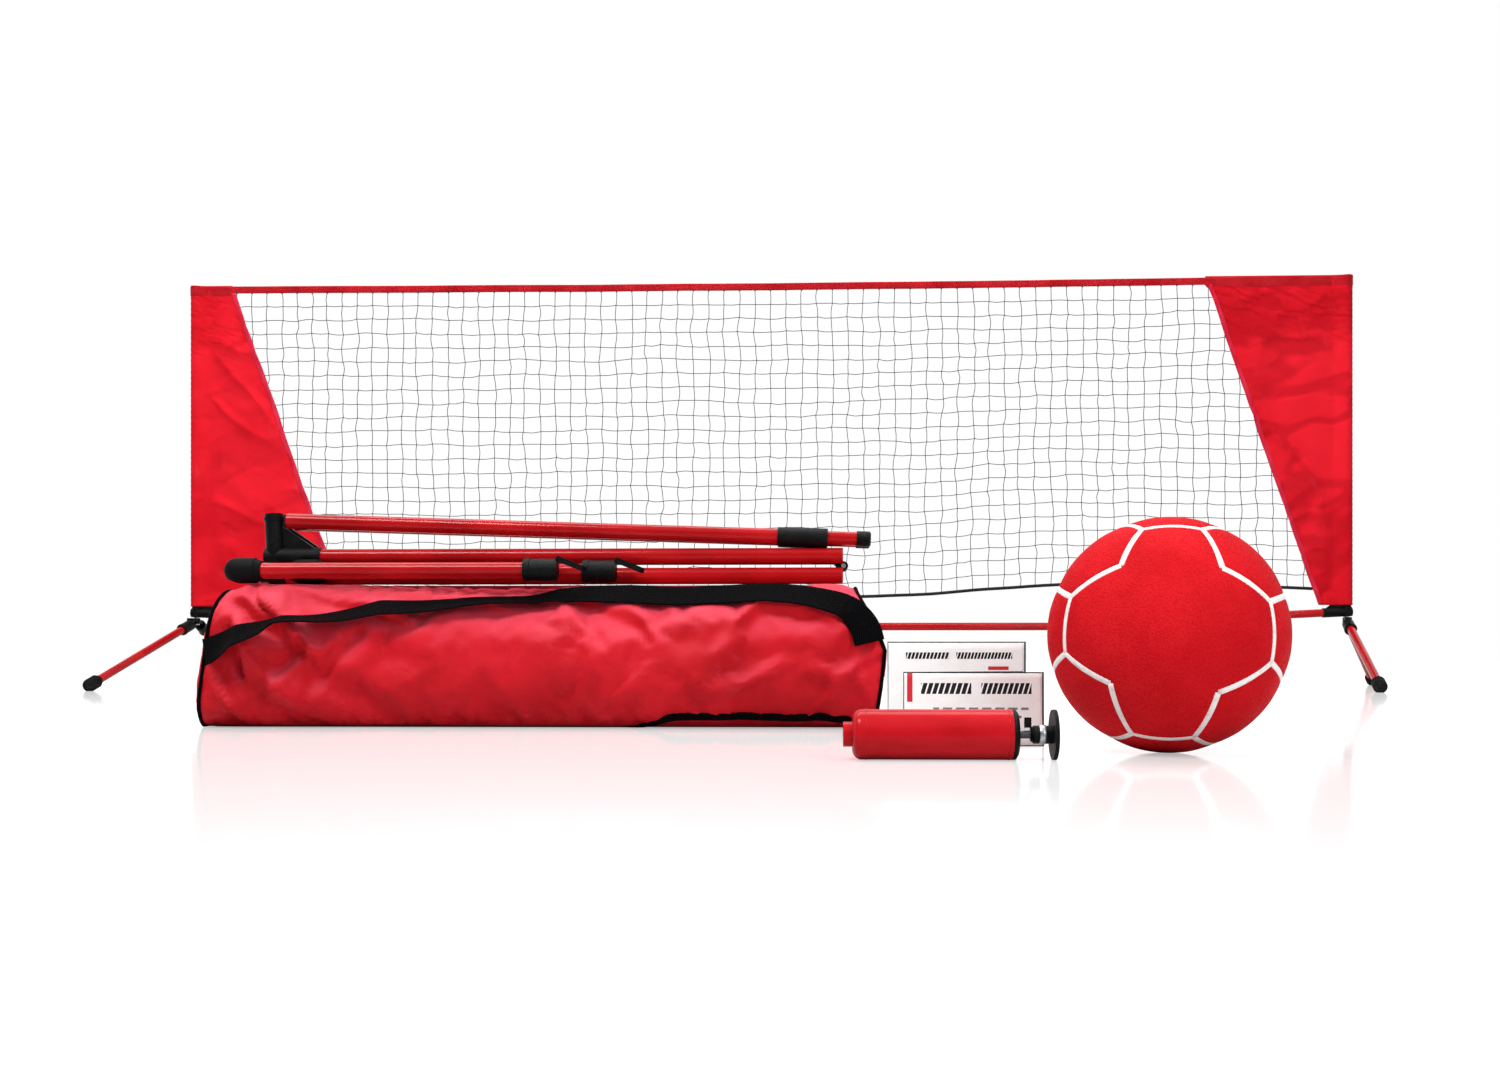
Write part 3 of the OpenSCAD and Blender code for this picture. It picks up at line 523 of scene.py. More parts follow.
def net_top_tape():
    """Folded binding over the net's top rope, from upright to upright."""
    past_pole, steps = 0.0154, 420
    span = right_x - left_x + 2 * past_pole
    route_x = [left_x - past_pole + span * k / steps for k in range(steps + 1)]
    half = [(0.0, 0.0), (0.0017, -0.0008), (0.0024, -0.0028), (0.0019, -0.0052), (0.0014, -0.008),
            (0.0014, -0.019), (0.0006, -0.0202)]
    outline = half + [(-a, b) for a, b in reversed(half[1:])]
    points = []
    for x in route_x:
        z, free = tape_z(x), ease((x - left_x - 0.13) / 0.08) * ease((right_x - 0.40 - x) / 0.08)
        out, roll = 0.0016 * wave(x, 0, 0, 0.09, 6) * free, 0.06 * wave(x, 0, 0, 0.16, 9) * free
        # room for the panels and their sleeves
        on_panel = left_edge(net_top) > x or right_edge(net_top) < x
        away = min(x - left_x, right_x - x)
        sleeve = 0.0150 * ease((sleeve_reach - away) / sleeve_reach)
        if away <= 0:
            sleeve = sqrt(max(0.0, 0.0156 ** 2 - away * away))
        room = sleeve if away < sleeve_reach else 0.0010 * on_panel
        for a, b in outline:
            b *= 1.3 if on_panel else 0.92
            gather = 0.0005 * sin(x * 560 + b * 300)
            wide = abs(a) + (gather if abs(a) > 0.001 else 0) + room * (b < -0.0005)
            side = (a > 0) - (a < 0)
            points.append((x, net_y + out + side * wide + b * roll, z + b))
    faces = tube(len(route_x), len(outline), flipped=True)
    made = piece("net_top_tape", points, faces, tape_red)
    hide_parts("top_tape")
    sewn = [x for x in route_x if left_edge(net_top) + 0.09 < x < right_edge(net_top) - 0.05]
    down = 0.0168
    for k, side in enumerate((-1, 1)):
        row = []
        for x in sewn:
            out = 0.0016 * wave(x, 0, 0, 0.09, 6) + side * 0.0021 - down * 0.06 * wave(x, 0, 0, 0.16, 9)
            row.append((x, net_y + out, tape_z(x) - down))
        stitch_row("tape_stitches_%d" % k, row, seam_thread)


cord_points = [(left_edge(net_low + 0.020) + 0.001, net_low + 0.020), (0.291, net_low + 0.024),
               (0.721, net_low + 0.056), (1.051, net_low + 0.052),
               (right_edge(net_low + 0.042) - 0.001, net_low + 0.042)]


def cord_z(x):
    """Height of the bottom cord by straight lines between its points."""
    for (x0, z0), (x1, z1) in zip(cord_points, cord_points[1:]):
        if x <= x1:
            break
    return z0 + (z1 - z0) * (x - x0) / (x1 - x0)


def net_bottom_cord():
    """The cord along the net's lower edge, from panel to panel; gives its route."""
    steps, straight = 300, 8

    def soft(x):
        return sum(cord_z(x + d) for d in (-0.09, -0.045, 0, 0.045, 0.09)) / 5

    route = []
    for k in range(steps + 1):
        x = cord_points[0][0] + (cord_points[-1][0] - cord_points[0][0]) * k / steps
        z = soft(x) if straight < k < steps - straight else cord_z(x)
        route.append((x, net_y, z + 0.0018 * wave(x, 0, 0, 0.11, 3)))
    points, faces = swept(route, ring(cord_radius, 12))
    made = piece("net_bottom_cord", points, faces, cord_black)
    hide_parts("bottom_cord")
    return route


def knotted_net(cord_route):
    """Square-mesh twine net: knots where the strands cross, each strand a little slack."""
    rows = mesh_rows
    columns = int((right_low - left_top) / mesh_step)
    first, last = cord_route[0][0], cord_route[-1][0]
    points, faces = [], []

    def cord_at(x):
        k = int((x - first) / (last - first) * (len(cord_route) - 1))
        return cord_route[min(len(cord_route) - 2, max(0, k))][2]

    def knot(i, j):
        """Knot i along the net and j down from the tape, pulled about a little."""
        x = left_top + 0.012 + i * mesh_step
        top, low = tape_z(x) - tape_tall + 0.002, cord_at(x)
        z = top + (low - top) * j / rows
        loose = min(1.0, j / 2, (rows - j) / 2)
        x += (0.0078 * wave(i, 0, j, 1.7, 1) + 0.005 * wave(i, j, 0, 6.0, 2)) * loose
        z += (0.0062 * wave(i, 3, j, 1.7, 4) + 0.006 * wave(i, j, 9, 7.0, 5)) * loose
        return Vector((x, net_y + 0.004 * wave(i, j, 4, 5.0, 6) * loose, z))

    def inside(p):
        return left_edge(p.z) + 0.001 < p.x < right_edge(p.z) - 0.001

    def to_edge(a, b):
        """The point between a, inside, and b, outside, at the panel's edge."""
        for _ in range(18):
            m = (a + b) / 2
            a, b = (m, b) if inside(m) else (a, m)
        return a

    def strand(a, b, seed, upright):
        slack = 0.0064 * wave(seed, 1, 2, 0.7, 3)
        sag = Vector((slack, 0, 0)) if upright else Vector((0, 0, slack * 0.7 - 0.0008))
        middle = (a + b) / 2 + sag
        route = [a, a * 0.56 + middle * 0.52 - b * 0.08, middle, b * 0.56 + middle * 0.52 - a * 0.08, b]
        add_swept(points, faces, route, ring(twine_radius, 5), up=Vector((0, 1, 0)))

    def tied(at, size):
        """A small six-sided knot, twisted a little from its foot to its top."""
        start, sides, layers = len(points), 6, ((-1, 0.35), (-0.45, 0.95), (0.45, 0.95), (1, 0.35))
        for k, (h, r) in enumerate(layers):
            for s in range(sides):
                turn = 2 * pi * s / sides + k * 0.4
                points.append(at + Vector((r * size * cos(turn), r * size * 0.8 * sin(turn), h * size * 0.9)))
        faces.extend(tube(len(layers), sides, start))

    for i in range(-8, columns + 10):
        for j in range(rows + 1):
            here = knot(i, j)
            if inside(here):
                tied(here, 0.0017 if 0 < j < rows else 0.0028)
            for other, upright in ((knot(i, j + 1), True), (knot(i + 1, j), False)):
                past_net = j == rows if upright else j in (0, rows)
                if past_net or not (inside(here) or inside(other)):
                    continue
                a = here if inside(here) else to_edge(other, here)
                b = other if inside(other) else to_edge(here, other)
                strand(a, b, i * 3.7 + j * 1.9, upright)
    made = piece("knotted_net", points, faces, twine_grey)
    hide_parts("net_mesh")


sleeve_cloth = 0.05
for side, edge, x, node in ((-1, left_edge, left_x, "panel_left"), (1, right_edge, right_x, "panel_right")):
    cloth = net_panel(side, edge, x, node)
    hem = panel_hem(side, edge, x, node + "_hem")
    low_wide, top_wide = abs(edge(net_low) - x), abs(edge(net_top) - x)
    area = panel_rise * (low_wide + top_wide) + panel_rise * sleeve_cloth
    2 * max(low_wide, top_wide) + sleeve_cloth
net_top_tape()
knotted_net(net_bottom_cord())


# ---- ball
ball_low, ball_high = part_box("ball_cover")
ball_at = Vector([(a + b) / 2 for a, b in zip(ball_low, ball_high)])
ball_r = (ball_high[2] - ball_low[2]) / 2
ball_front = Vector((-0.229, -0.973, 0)).normalized()
ball_right = ball_front.cross(Vector((0, 0, -1))).normalized()
ball_up = ball_right.cross(-ball_front).normalized()


def on_ball(turn, away, back=False):
    """A direction at a clock angle and an angle from the ball's front or back pole, in degrees."""
    turn, away = radians(turn), radians(away)
    f = -cos(away) if back else cos(away)
    return ball_right * cos(turn) * sin(away) + ball_up * sin(turn) * sin(away) + ball_front * f


def ball_seams():
    """Seams as chains of directions: a twelve-cornered panel on each pole, and eight lines between them."""
    tips = [(103, 64), (72, 66), (18, 58), (-16, 58), (-76, 61), (-109, 61), (-169, 57), (158, 57)]
    dents = {1: (51, 43), 3: (-50, 38), 5: (-138, 37), 7: (123, 42)}
    bulge = [112, 61, 19, -24, -66, -120, -161, 156]
    chains = []
    for back in (False, True):
        for k, tip in enumerate(tips):
            following = tips[(k + 1) % 8]
            stops = [tip] + ([dents[k]] if k in dents else []) + [following]
            for a, b in zip(stops, stops[1:]):
                chains.append([on_ball(*a, back), on_ball(*b, back)])
    for tip, middle in zip(tips, bulge):
        chains.append([on_ball(*tip), on_ball(middle, 90), on_ball(*tip, True)])
    out = []
    for chain in chains:
        line = []
        for a, b in zip(chain, chain[1:]):
            n = max(6, int(a.angle(b) / radians(2.2)))
            line += [a.slerp(b, k / n) for k in range(n)]
        out.append(line + [chain[-1]])
    return out


def ball_leather():
    """Pebbled red cover, with painted shade between its pebbles."""
    p = Paint("ball_pebble", IOR=1.18, Specular_IOR_Level=0.1)
    pebble = p.cells(520)
    fine = p.noise(1500, 2)
    tone = p.noise(16, 4, 0.6)
    color = p.tones(tone, (194, 20, 28), (214, 29, 37))
    # painted shade: darker in the low ground between the pebbles
    color = p.blend(pebble.rise(0.35, 0.8) * 0.35, color, (168, 14, 24))
    return p.finish(color, 0.46 + 0.16 * pebble, 1 - pebble + fine * 0.3, 0.0005)


def seam_white():
    """Off-white seam filler with dull scuffs."""
    p = Paint("ball_seam")
    scuff = p.noise(120, 4, 0.6)
    color = p.blend(scuff.rise(0.45, 0.75) * 0.6, (244, 242, 240), (214, 200, 196))
    return p.finish(color, 0.5 + 0.2 * scuff, p.noise(900, 3), 0.0003)


def match_ball():
    """Cover with grooves and slightly swollen panels, and the white seams that lie in the grooves."""
    chains = ball_seams()
    stops = [d for chain in chains for d in chain]
    near = KDTree(len(stops))
    for k, d in enumerate(stops):
        near.insert(d, k)
    near.balance()
    rings, around = 200, 400
    points = []
    for r in range(rings + 1):
        tilt = pi * r / rings
        for c in range(around):
            turn = 2 * pi * c / around
            d = (ball_right * cos(turn) + ball_up * sin(turn)) * sin(tilt) + ball_front * cos(tilt)
            gap = near.find(d)[2] * ball_r
            swell = -0.0013 * (1 - ease(gap / 0.0060)) + 0.0006 * ease((gap - 0.005) / 0.02)
            points.append(ball_at + d * (ball_r - 0.0006 + swell))
    faces = lattice(rings + 1, around, True)
    made = piece("ball_panels", points, faces, ball_leather(), "ball")
    face_out(made, merge=True)
    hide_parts("ball_cover")
    section = ((-0.0034, -0.0022), (-0.0026, -0.0009), (0, -0.0005), (0.0026, -0.0009), (0.0034, -0.0022),
               (0, -0.0028))
    points, faces = [], []
    for line in chains:
        start = len(points)
        for k, d in enumerate(line):
            wide = 1 + 0.12 * wave(d.x, d.y, d.z, 0.16, 4)
            across = d.cross(heading(line, k)).normalized()
            points += [ball_at + d * (ball_r - 0.0001 + h) + across * a * wide for a, h in section]
        faces += tube(len(line), len(section), start)
    piece("ball_seams", points, faces, seam_white(), "ball")


match_ball()


# ---- pump and leaflets
def card_white(name, x0, bars):
    """Coated card with plain printed bars: (from x, to x, from z, to z, colour, pitch of its dashes or 0)."""
    p = Paint(name, Specular_IOR_Level=0.3)
    x, y, z = p.axes()
    base = p.tones(p.noise(60, 3), (252, 252, 251), (245, 245, 244))
    for from_x, to_x, from_z, to_z, tone, dash in bars:
        inside = x.between(x0 + from_x, x0 + to_x) * z.between(from_z, to_z)
        if dash:
            inside = inside * ((x - z * 0.3) * (1 / dash)).fract().below(0.72)
        base = p.blend(inside, base, tone)
    return p.finish(base, 0.42 + 0.1 * p.noise(40, 2), p.noise(260, 3), 0.0001)


def leaflet(node, body, wide, tall, paint):
    """Folded card standing on its long edge, its two leaves a little bowed."""
    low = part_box(node)[0]
    x0, y0 = low[0] + 0.0004, low[1] + 0.0004
    columns, rows, points = 28, 12, []
    open_angle, bow = radians(24), 0.0022
    for r in range(rows):
        z = tall * r / (rows - 1)
        for leaf in (0, 1):
            for c in range(columns):
                u = c / (columns - 1)
                u = u if leaf else 1 - u
                turn = open_angle * leaf
                out = bow * sin(pi * u) * (1 if leaf else -0.6) + 0.0012 * (z / tall) * u
                x = x0 + wide * u * cos(turn) - out * sin(turn)
                points.append((x, y0 + wide * u * sin(turn) + out * cos(turn), z))
    made = piece(node + "_card", points, lattice(rows, 2 * columns), paint, body)
    thicken(made, 0.0006)
    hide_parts(node)


def pump_details():
    """A metal collar on the handle's stem and the moulded rings round the barrel's ends."""
    low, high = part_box("pump_barrel")
    at_y, at_z, radius = (low[1] + high[1]) / 2, (low[2] + high[2]) / 2, (high[2] - low[2]) / 2
    stem_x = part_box("pump_handle")[0][0]
    route = [(stem_x + d, at_y, at_z) for d in (0.0125, 0.0132, 0.0178, 0.0185)]
    points, faces = swept(route, ring(0.0086, 40), shape=lambda i, u: 0.95 if i in (0, 3) else 1.0)
    piece("handle_collar", points, faces, finishes["steel"], "plunger")
    steps, bead = 72, ring(0.0009, 8)
    for k, x in enumerate((low[0] + 0.020, high[0] - 0.0030)):
        points = []
        for turn in range(steps + 1):
            way = Vector((0, cos(2 * pi * turn / steps), sin(2 * pi * turn / steps)))
            points += [Vector((x + a, at_y, at_z)) + way * (radius + b * 0.5) for a, b in bead]
        faces = lattice(steps + 1, len(bead), True)
        piece("barrel_ring_%d" % k, points, faces, finishes["pump_red"], "pump")


pump_details()
print_black, print_red, print_grey = (20, 20, 22), (206, 40, 52), (120, 120, 124)
title_front, title_rear = (0.0520, 0.0630, print_black), (0.0865, 0.0935, print_black)
leaflets = (
    ("leaflet_front", "leaflet_a", 0.140, 0.074, [
        (0.018, 0.068, *title_front, 0.0058), (0.078, 0.128, *title_front, 0.0052),
        (0.004, 0.0095, 0.044, 0.0735, print_red, 0),
        (0.030, 0.125, 0.036, 0.0385, print_grey, 0.013), (0.030, 0.118, 0.028, 0.0305, print_grey, 0.017)]),
    ("leaflet_rear", "leaflet_b", 0.148, 0.105, [
        (0.020, 0.066, *title_rear, 0.0040), (0.074, 0.134, *title_rear, 0.0036),
        (0.108, 0.130, 0.0745, 0.0785, print_red, 0)]),
)
for node, body, wide, tall, bars in leaflets:
    over = tall + 0.002
    border = [(-0.002, wide, 0, 0.0010), (-0.002, wide, tall - 0.0012, over),
              (-0.002, 0.0012, 0, over), (wide - 0.0014, wide + 0.01, 0, over)]
    bars = bars + [(*line, print_black, 0) for line in border]
    leaflet(node, body, wide, tall, card_white(node + "_print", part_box(node)[0][0], bars))


# ---- carry bag
bag_low, bag_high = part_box("bag_shell")
bag_x0, bag_x1 = bag_low[0], bag_high[0]
bag_y, bag_half = (bag_low[1] + bag_high[1]) / 2, (bag_high[1] - bag_low[1]) / 2
bag_tall = bag_high[2]


def held_low(z):
    """A height of the cloth, kept off the floor and under what lies on the bag."""
    return max(0.0006, min(z, bag_tall - 0.0004))


def bag_nylon():
    """Soft coated nylon: plain weave, a painted highlight where it faces up, fine crushed creases with a
    painted highlight on their raised parts.
    """
    p = Paint("bag_nylon", Sheen_Weight=0.03, Sheen_Roughness=0.35, IOR=1.3, Specular_IOR_Level=0.3)
    x, y, z = p.axes()
    weave = (x * 4600).sin() * ((y + z) * 4600).sin()
    tone = p.noise(6, 4, 0.55)
    crush_and_highlight = p.noise(34, 5, 0.62, p.point(x * 0.7, y, z + x * 0.3))
    color = p.tones(tone, (184, 14, 25), (216, 24, 40))
    # painted highlight: pale pink where the crushed-crease bump is raised
    color = p.blend(crush_and_highlight.rise(0.55, 0.8) * 0.35, color, (236, 66, 90))
    # painted highlight: the cloth is paler pink where its normal points up
    up_facing_highlight = p.axes(p.node("NewGeometry", out="Normal"))[2]
    color = p.blend(up_facing_highlight.rise(0.10, 0.95) * 0.62, color, (246, 84, 106))
    return p.finish(color, 0.42 + 0.16 * tone, weave * 0.14 + crush_and_highlight * 3.5, 0.0009)


def webbing():
    """Flat woven webbing: ribs across it, slightly dusty."""
    p = Paint("strap_webbing", IOR=1.18, Specular_IOR_Level=0.1)
    x, y, z = p.axes()
    rib = ((x + y * 0.4) * 2400).sin() * (1 + ((x - z) * 900).sin() * 0.4)
    dust = p.noise(30, 4, 0.6)
    color = p.blend(rib.rise(-0.8, 0.9), (5, 5, 6), (17, 16, 18))
    color = p.blend(dust.rise(0.55, 0.8) * 0.25, color, (38, 37, 39))
    return p.finish(color, 0.62 + 0.12 * dust, rib, 0.0005)


def zip_cloth():
    """Dull black woven tape."""
    p = Paint("zip_tape")
    x, y, z = p.axes()
    weave = (x * 3600).sin() * (z * 3600).sin()
    color = p.tones(p.noise(40, 3), (18, 17, 19), (38, 36, 40))
    return p.finish(color, 0.7 + 0.08 * weave, weave, 0.0004)


bag_red, web_black, zip_black = bag_nylon(), webbing(), zip_cloth()
bag_across, bag_along = 112, 150
tube_count = (bag_along + 1) * bag_across


def bag_section(upper, lower):
    """Places round a rounded box, evenly spaced, from the middle of the floor to the front: (out, up)."""
    path, steps = [(0.0, 0.0)], 14
    corners = ((-bag_half + lower, lower, lower, -pi / 2, -pi),
               (-bag_half + upper, bag_tall - upper, upper, pi, pi / 2),
               (bag_half - upper, bag_tall - upper, upper, pi / 2, 0),
               (bag_half - lower, lower, lower, 0, -pi / 2))
    for cy, cz, r, begin, end in corners:
        turns = [begin + (end - begin) * k / steps for k in range(steps + 1)]
        path += [(cy + r * cos(t), cz + r * sin(t)) for t in turns]
    path.append((0.0, 0.0))
    total = path_length(path)
    return walked(path, [total * n / bag_across for n in range(bag_across)])


# Creases from (along, up) to (along, up), how wide, how deep, in mm; along is in hundredths of the length
bag_creases = [
    (3, 160, 17, 85, 10, 14), (5, 172, 13, 120, 8, 12), (10, 172, 30, 128, 11, 10),
    (3.5, 135, 6.5, 60, 8, 10), (4, 110, 10, 30, 12, 8), (15, 110, 10, 60, 12, 8), (12, 92, 30, 20, 20, 8),
    (24, 120, 16, 45, 15, 6), (30, 150, 62, 158, 13, 7), (42, 145, 56, 120, 16, 6),
    (55, 158, 66, 118, 14, 7), (70, 105, 92, 135, 16, 7), (74, 70, 97, 100, 18, 7),
    (80, 150, 97, 125, 12, 7), (62, 30, 86, 45, 16, 5), (36, 25, 58, 50, 18, 5), (88, 60, 98, 45, 14, 6),
]


def crease_depth(along, up, length):
    """Depth of the creases at a place: a valley with a raised lip on its upper side."""
    total, at = 0.0, along * length
    for crease in bag_creases:
        a0, h0, a1, h1, wide, deep = (n / unit for n, unit in zip(crease, (100, 1000, 100, 1000, 1000, 1000)))
        ax = a0 * length
        dx, dy = a1 * length - ax, h1 - h0
        span = hypot(dx, dy)
        t = ((at - ax) * dx + (up - h0) * dy) / (span * span)
        off = ((at - ax) * -dy + (up - h0) * dx) / span + 0.006 * wave(at, up, 0, 0.07, a0 * 9)
        fade = ease((t + 0.12) / 0.25) * ease((1.12 - t) / 0.25)
        u = off / wide
        total += fade * deep * (0.85 * 2.718 ** (-(u - 1.3) ** 2) - 2.718 ** (-u * u))
    return total


def side_push(x, z, up, side, here, length):
    """How far a wall of the bag stands out at a place, before its creases fade into the seams."""
    push = 0.0045 * wave(x + z * 0.8, side, z * 1.3 - x * 0.15, 0.13, 3)
    push += 0.0018 * wave(x - z, side * 2, z * 1.8, 0.045, 6)
    push += 0.0058 * ridge(here * length, up, 0.62, 0.085, 4 + side) * (1 - 0.55 * ease(here / 0.34))
    push += 0.0105 * ridge(here * length, up, -0.9, 0.060, 8 + side) * ease((0.22 - here) / 0.12)
    push += 0.0050 * ridge(here * length, up, 0.35, 0.050, 12 + side) * ease((here - 0.58) / 0.2)
    return push + 0.0014 * wave(x + z * 0.5, side, z * 2, 0.018, 2)


def bag_shape():
    """The filled bag: slack between its ends, creased sides, flat below and where the frame lies on it."""
    boxy, slack = bag_section(0.056, 0.046), bag_section(0.086, 0.052)
    length, points = bag_x1 - bag_x0, []
    for i in range(bag_along + 1):
        u = i / bag_along
        end = min(u, 1 - u) * length
        soft = ease(u / 0.22) * (1 - 0.5 * ease((u - 0.85) / 0.15))
        for (out0, up0), (out1, up1) in zip(boxy, slack):
            out, up = out0 + (out1 - out0) * soft, up0 + (up1 - up0) * soft
            high = up / bag_tall
            # the seams of the ends lean in at the top
            first = bag_x0 + 0.027 + 0.024 * high
            last = bag_x1 - 0.009 - 0.016 * (1 - high) ** 2 - 0.036 * max(0.0, high - 0.55) / 0.45
            x = first + (last - first) * u
            y = out * (1 - 0.05 * (1 - ease(end / 0.06)) + 0.012 * wave(x, 0, 0, 0.30, 1))
            z = up * (1 - 0.03 * (1 - ease(end / 0.05)))
            side = -1 if out < 0 else 1
            here = u if side < 0 else 1 - u
            push = side_push(x, z, up, side, here, length)
            if abs(out) > 0.05:
                push += crease_depth(here, up, length)
            wall = ease((abs(out) - 0.045) / 0.06)
            y += side * (push - 0.004) * wall * ease(end / 0.018) * ease(up / 0.016)
            # the top sags on either side of what lies on it
            if high > 0.7:
                sag = (0.004 + 0.005 * max(0, wave(x, y, 0, 0.12, 7))) * ease((high - 0.7) / 0.3)
                z -= sag * ease((abs(out) - 0.02) / 0.05) + 0.0006
            points.append(Vector((x, bag_y + y, held_low(z))))
    return points


end_rings = (0.010, 0.035, 0.075, 0.13, 0.21, 0.37, 0.58, 0.80)


def end_panel(seam, outward, reach):
    """Rings from an end seam to the middle of the end panel, which bulges out inside its seam."""
    middle = sum(seam, Vector()) / len(seam)
    points = []
    for t in end_rings:
        turn = 1 - min(1.0, t / 0.24)
        for p in seam:
            q = p.lerp(middle, t)
            bulge = reach * sqrt(1 - turn * turn) + 0.0035 * wave(q.y, q.z, t, 0.05, 3) * ease(t * 4)
            points.append(q + Vector((outward * bulge, 0, 0)))
    points.append(middle + Vector((outward * reach, 0, 0)))
    return points


def bag_cloth():
    """The bag's cloth as one closed skin: the tube, and an end panel at either end."""
    points = bag_shape()
    faces = lattice(bag_along + 1, bag_across, True)
    for first, outward, reach in ((0, -1, 0.010), (bag_along * bag_across, 1, 0.005)):
        start = len(points)
        points += end_panel(points[first:first + bag_across], outward, reach)
        tip = len(points) - 1
        previous = first
        for now in range(start, tip, bag_across):
            for n in range(bag_across):
                m = (n + 1) % bag_across
                quad = (previous + n, previous + m, now + m, now + n)
                faces.append(quad if outward > 0 else (quad[0], quad[3], quad[2], quad[1]))
            previous = now
        for n in range(bag_across):
            a, b = previous + n, previous + (n + 1) % bag_across
            faces.append((a, b, tip) if outward > 0 else (a, tip, b))
    made = piece("bag_cloth", points, faces, bag_red)
    face_out(made)
    settle(made)
    flatten_at_zip(made)
    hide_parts("bag_shell")
    return made


def settle(made):
    """Lets the cloth buckle: a little more cloth than the bag needs, blown out softly, held where it lies."""
    steps, farthest = 22, 0.014
    begin = [v.co.copy() for v in made.data.vertices]
    hold = made.vertex_groups.new(name="hold")
    for v in made.data.vertices:
        seam = v.index < tube_count and v.index // bag_across in (0, bag_along)
        flat_top = v.co.z > bag_tall - 0.004 and abs(v.co.y - bag_y) < 0.03
        grip = 1.0 if seam or v.co.z < 0.004 or flat_top else 0.0
        hold.add([v.index], grip if v.index < tube_count else 0.6, "REPLACE")
    cloth = made.modifiers.new("cloth", "CLOTH")
    nature = {
        "vertex_group_mass": "hold", "quality": 5, "mass": 0.25, "tension_stiffness": 14,
        "compression_stiffness": 14, "shear_stiffness": 6, "bending_stiffness": 0.12, "shrink_min": -0.045,
        "use_pressure": True, "uniform_pressure_force": 1.1,
    }
    for name, value in nature.items():
        setattr(cloth.settings, name, value)
    cloth.settings.effector_weights.gravity = 0.0
    cloth.collision_settings.use_collision = False
    cloth.point_cache.frame_start, cloth.point_cache.frame_end = 1, steps
    scene = bpy.context.scene
    for step in range(1, steps + 1):
        scene.frame_set(step)
    now = made.evaluated_get(bpy.context.evaluated_depsgraph_get()).data.vertices
    moved = [v.co - was for v, was in zip(now, begin)]
    made.modifiers.remove(cloth)
    scene.frame_set(1)
    for v, was, step in zip(made.data.vertices, begin, moved):
        if step.length > farthest:
            step *= farthest / step.length
        place = was + step
        v.co = (place.x, place.y, held_low(place.z))
    made.data.update()


def flatten_at_zip(made):
    """The cloth is drawn flat where the zip is sewn in, on the back."""
    low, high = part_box("bag_zip")
    middle = (low[2] + high[2]) / 2
    for v in made.data.vertices:
        beside = max(0.0, low[0] - v.co.x, v.co.x - high[0])
        above = max(0.0, abs(v.co.z - middle) - 0.015)
        if v.co.y > bag_y and v.index < tube_count:
            near = (1 - ease(beside / 0.05)) * (1 - ease(above / 0.03))
            v.co.y += (low[1] - 0.0008 - v.co.y) * near
    made.data.update()


def bag_piping(made):
    """Black piping sewn round both end seams and along the two bottom edges."""
    at = [v.co.copy() for v in made.data.vertices]
    for name, first, out in (("left", 0, -1), ("right", bag_along * bag_across, 1)):
        seam = at[first:first + bag_across]
        route = []
        for p in seam + seam[:2]:
            away = Vector((0, p.y - bag_y, p.z - bag_tall / 2)).normalized()
            q = p + away * 0.0012 + Vector((out * 0.0008, 0, 0))
            route.append(Vector((q.x, q.y, max(q.z, 0.0026))))
        points, faces = swept(route, ring(0.0024, 8), up=Vector((1, 0, 0)))
        piece("piping_" + name, points, faces, web_black)
    for name, out in (("front", -0.0012), ("back", 0.0012)):
        route = []
        for i in range(2, bag_along - 1):
            u = i / bag_along
            # which row of the cloth the seam follows: it climbs a little near the right end of the front
            climb = 4.4 * ease((u - 0.63) / 0.08) - 0.8 * ease((u - 0.90) / 0.08)
            rise = 12.4 + (climb if name == "front" else 0.8)
            k, part = int(rise), rise - int(rise)
            k, following = (k, k + 1) if name == "front" else (bag_across - k, bag_across - k - 1)
            p = at[i * bag_across + k].lerp(at[i * bag_across + following], part)
            z = max(p.z, 0.0032 + 0.0024 * ease((u - 0.62) / 0.08))
            route.append(Vector((p.x, p.y + out, z)))
        points, faces = swept(softened(route, 8), ring(0.0022, 8, 1.3),
                              shape=lambda i, u: 1 + 0.8 * ease((u - 0.62) / 0.08))
        piece("bottom_seam_" + name, points, faces, web_black)


# the strap's marks: thousandths along the bag, height of the web's middle in mm, its lean from lying flat
strap_marks = [
    (48, 93, 64), (74, 100, 56), (110, 111, 38), (150, 122, 15), (185, 126.5, 11), (225, 131, 20),
    (283, 137, 31), (340, 143, 26), (426, 153, 15), (480, 159, 12), (510, 163, 18), (541, 166, 29),
    (620, 166, 38), (704, 163, 40), (770, 162, 38), (833, 160, 37), (890, 154, 41), (938, 143, 50),
    (953, 133, 58), (962, 120, 66), (966, 105, 74),
]


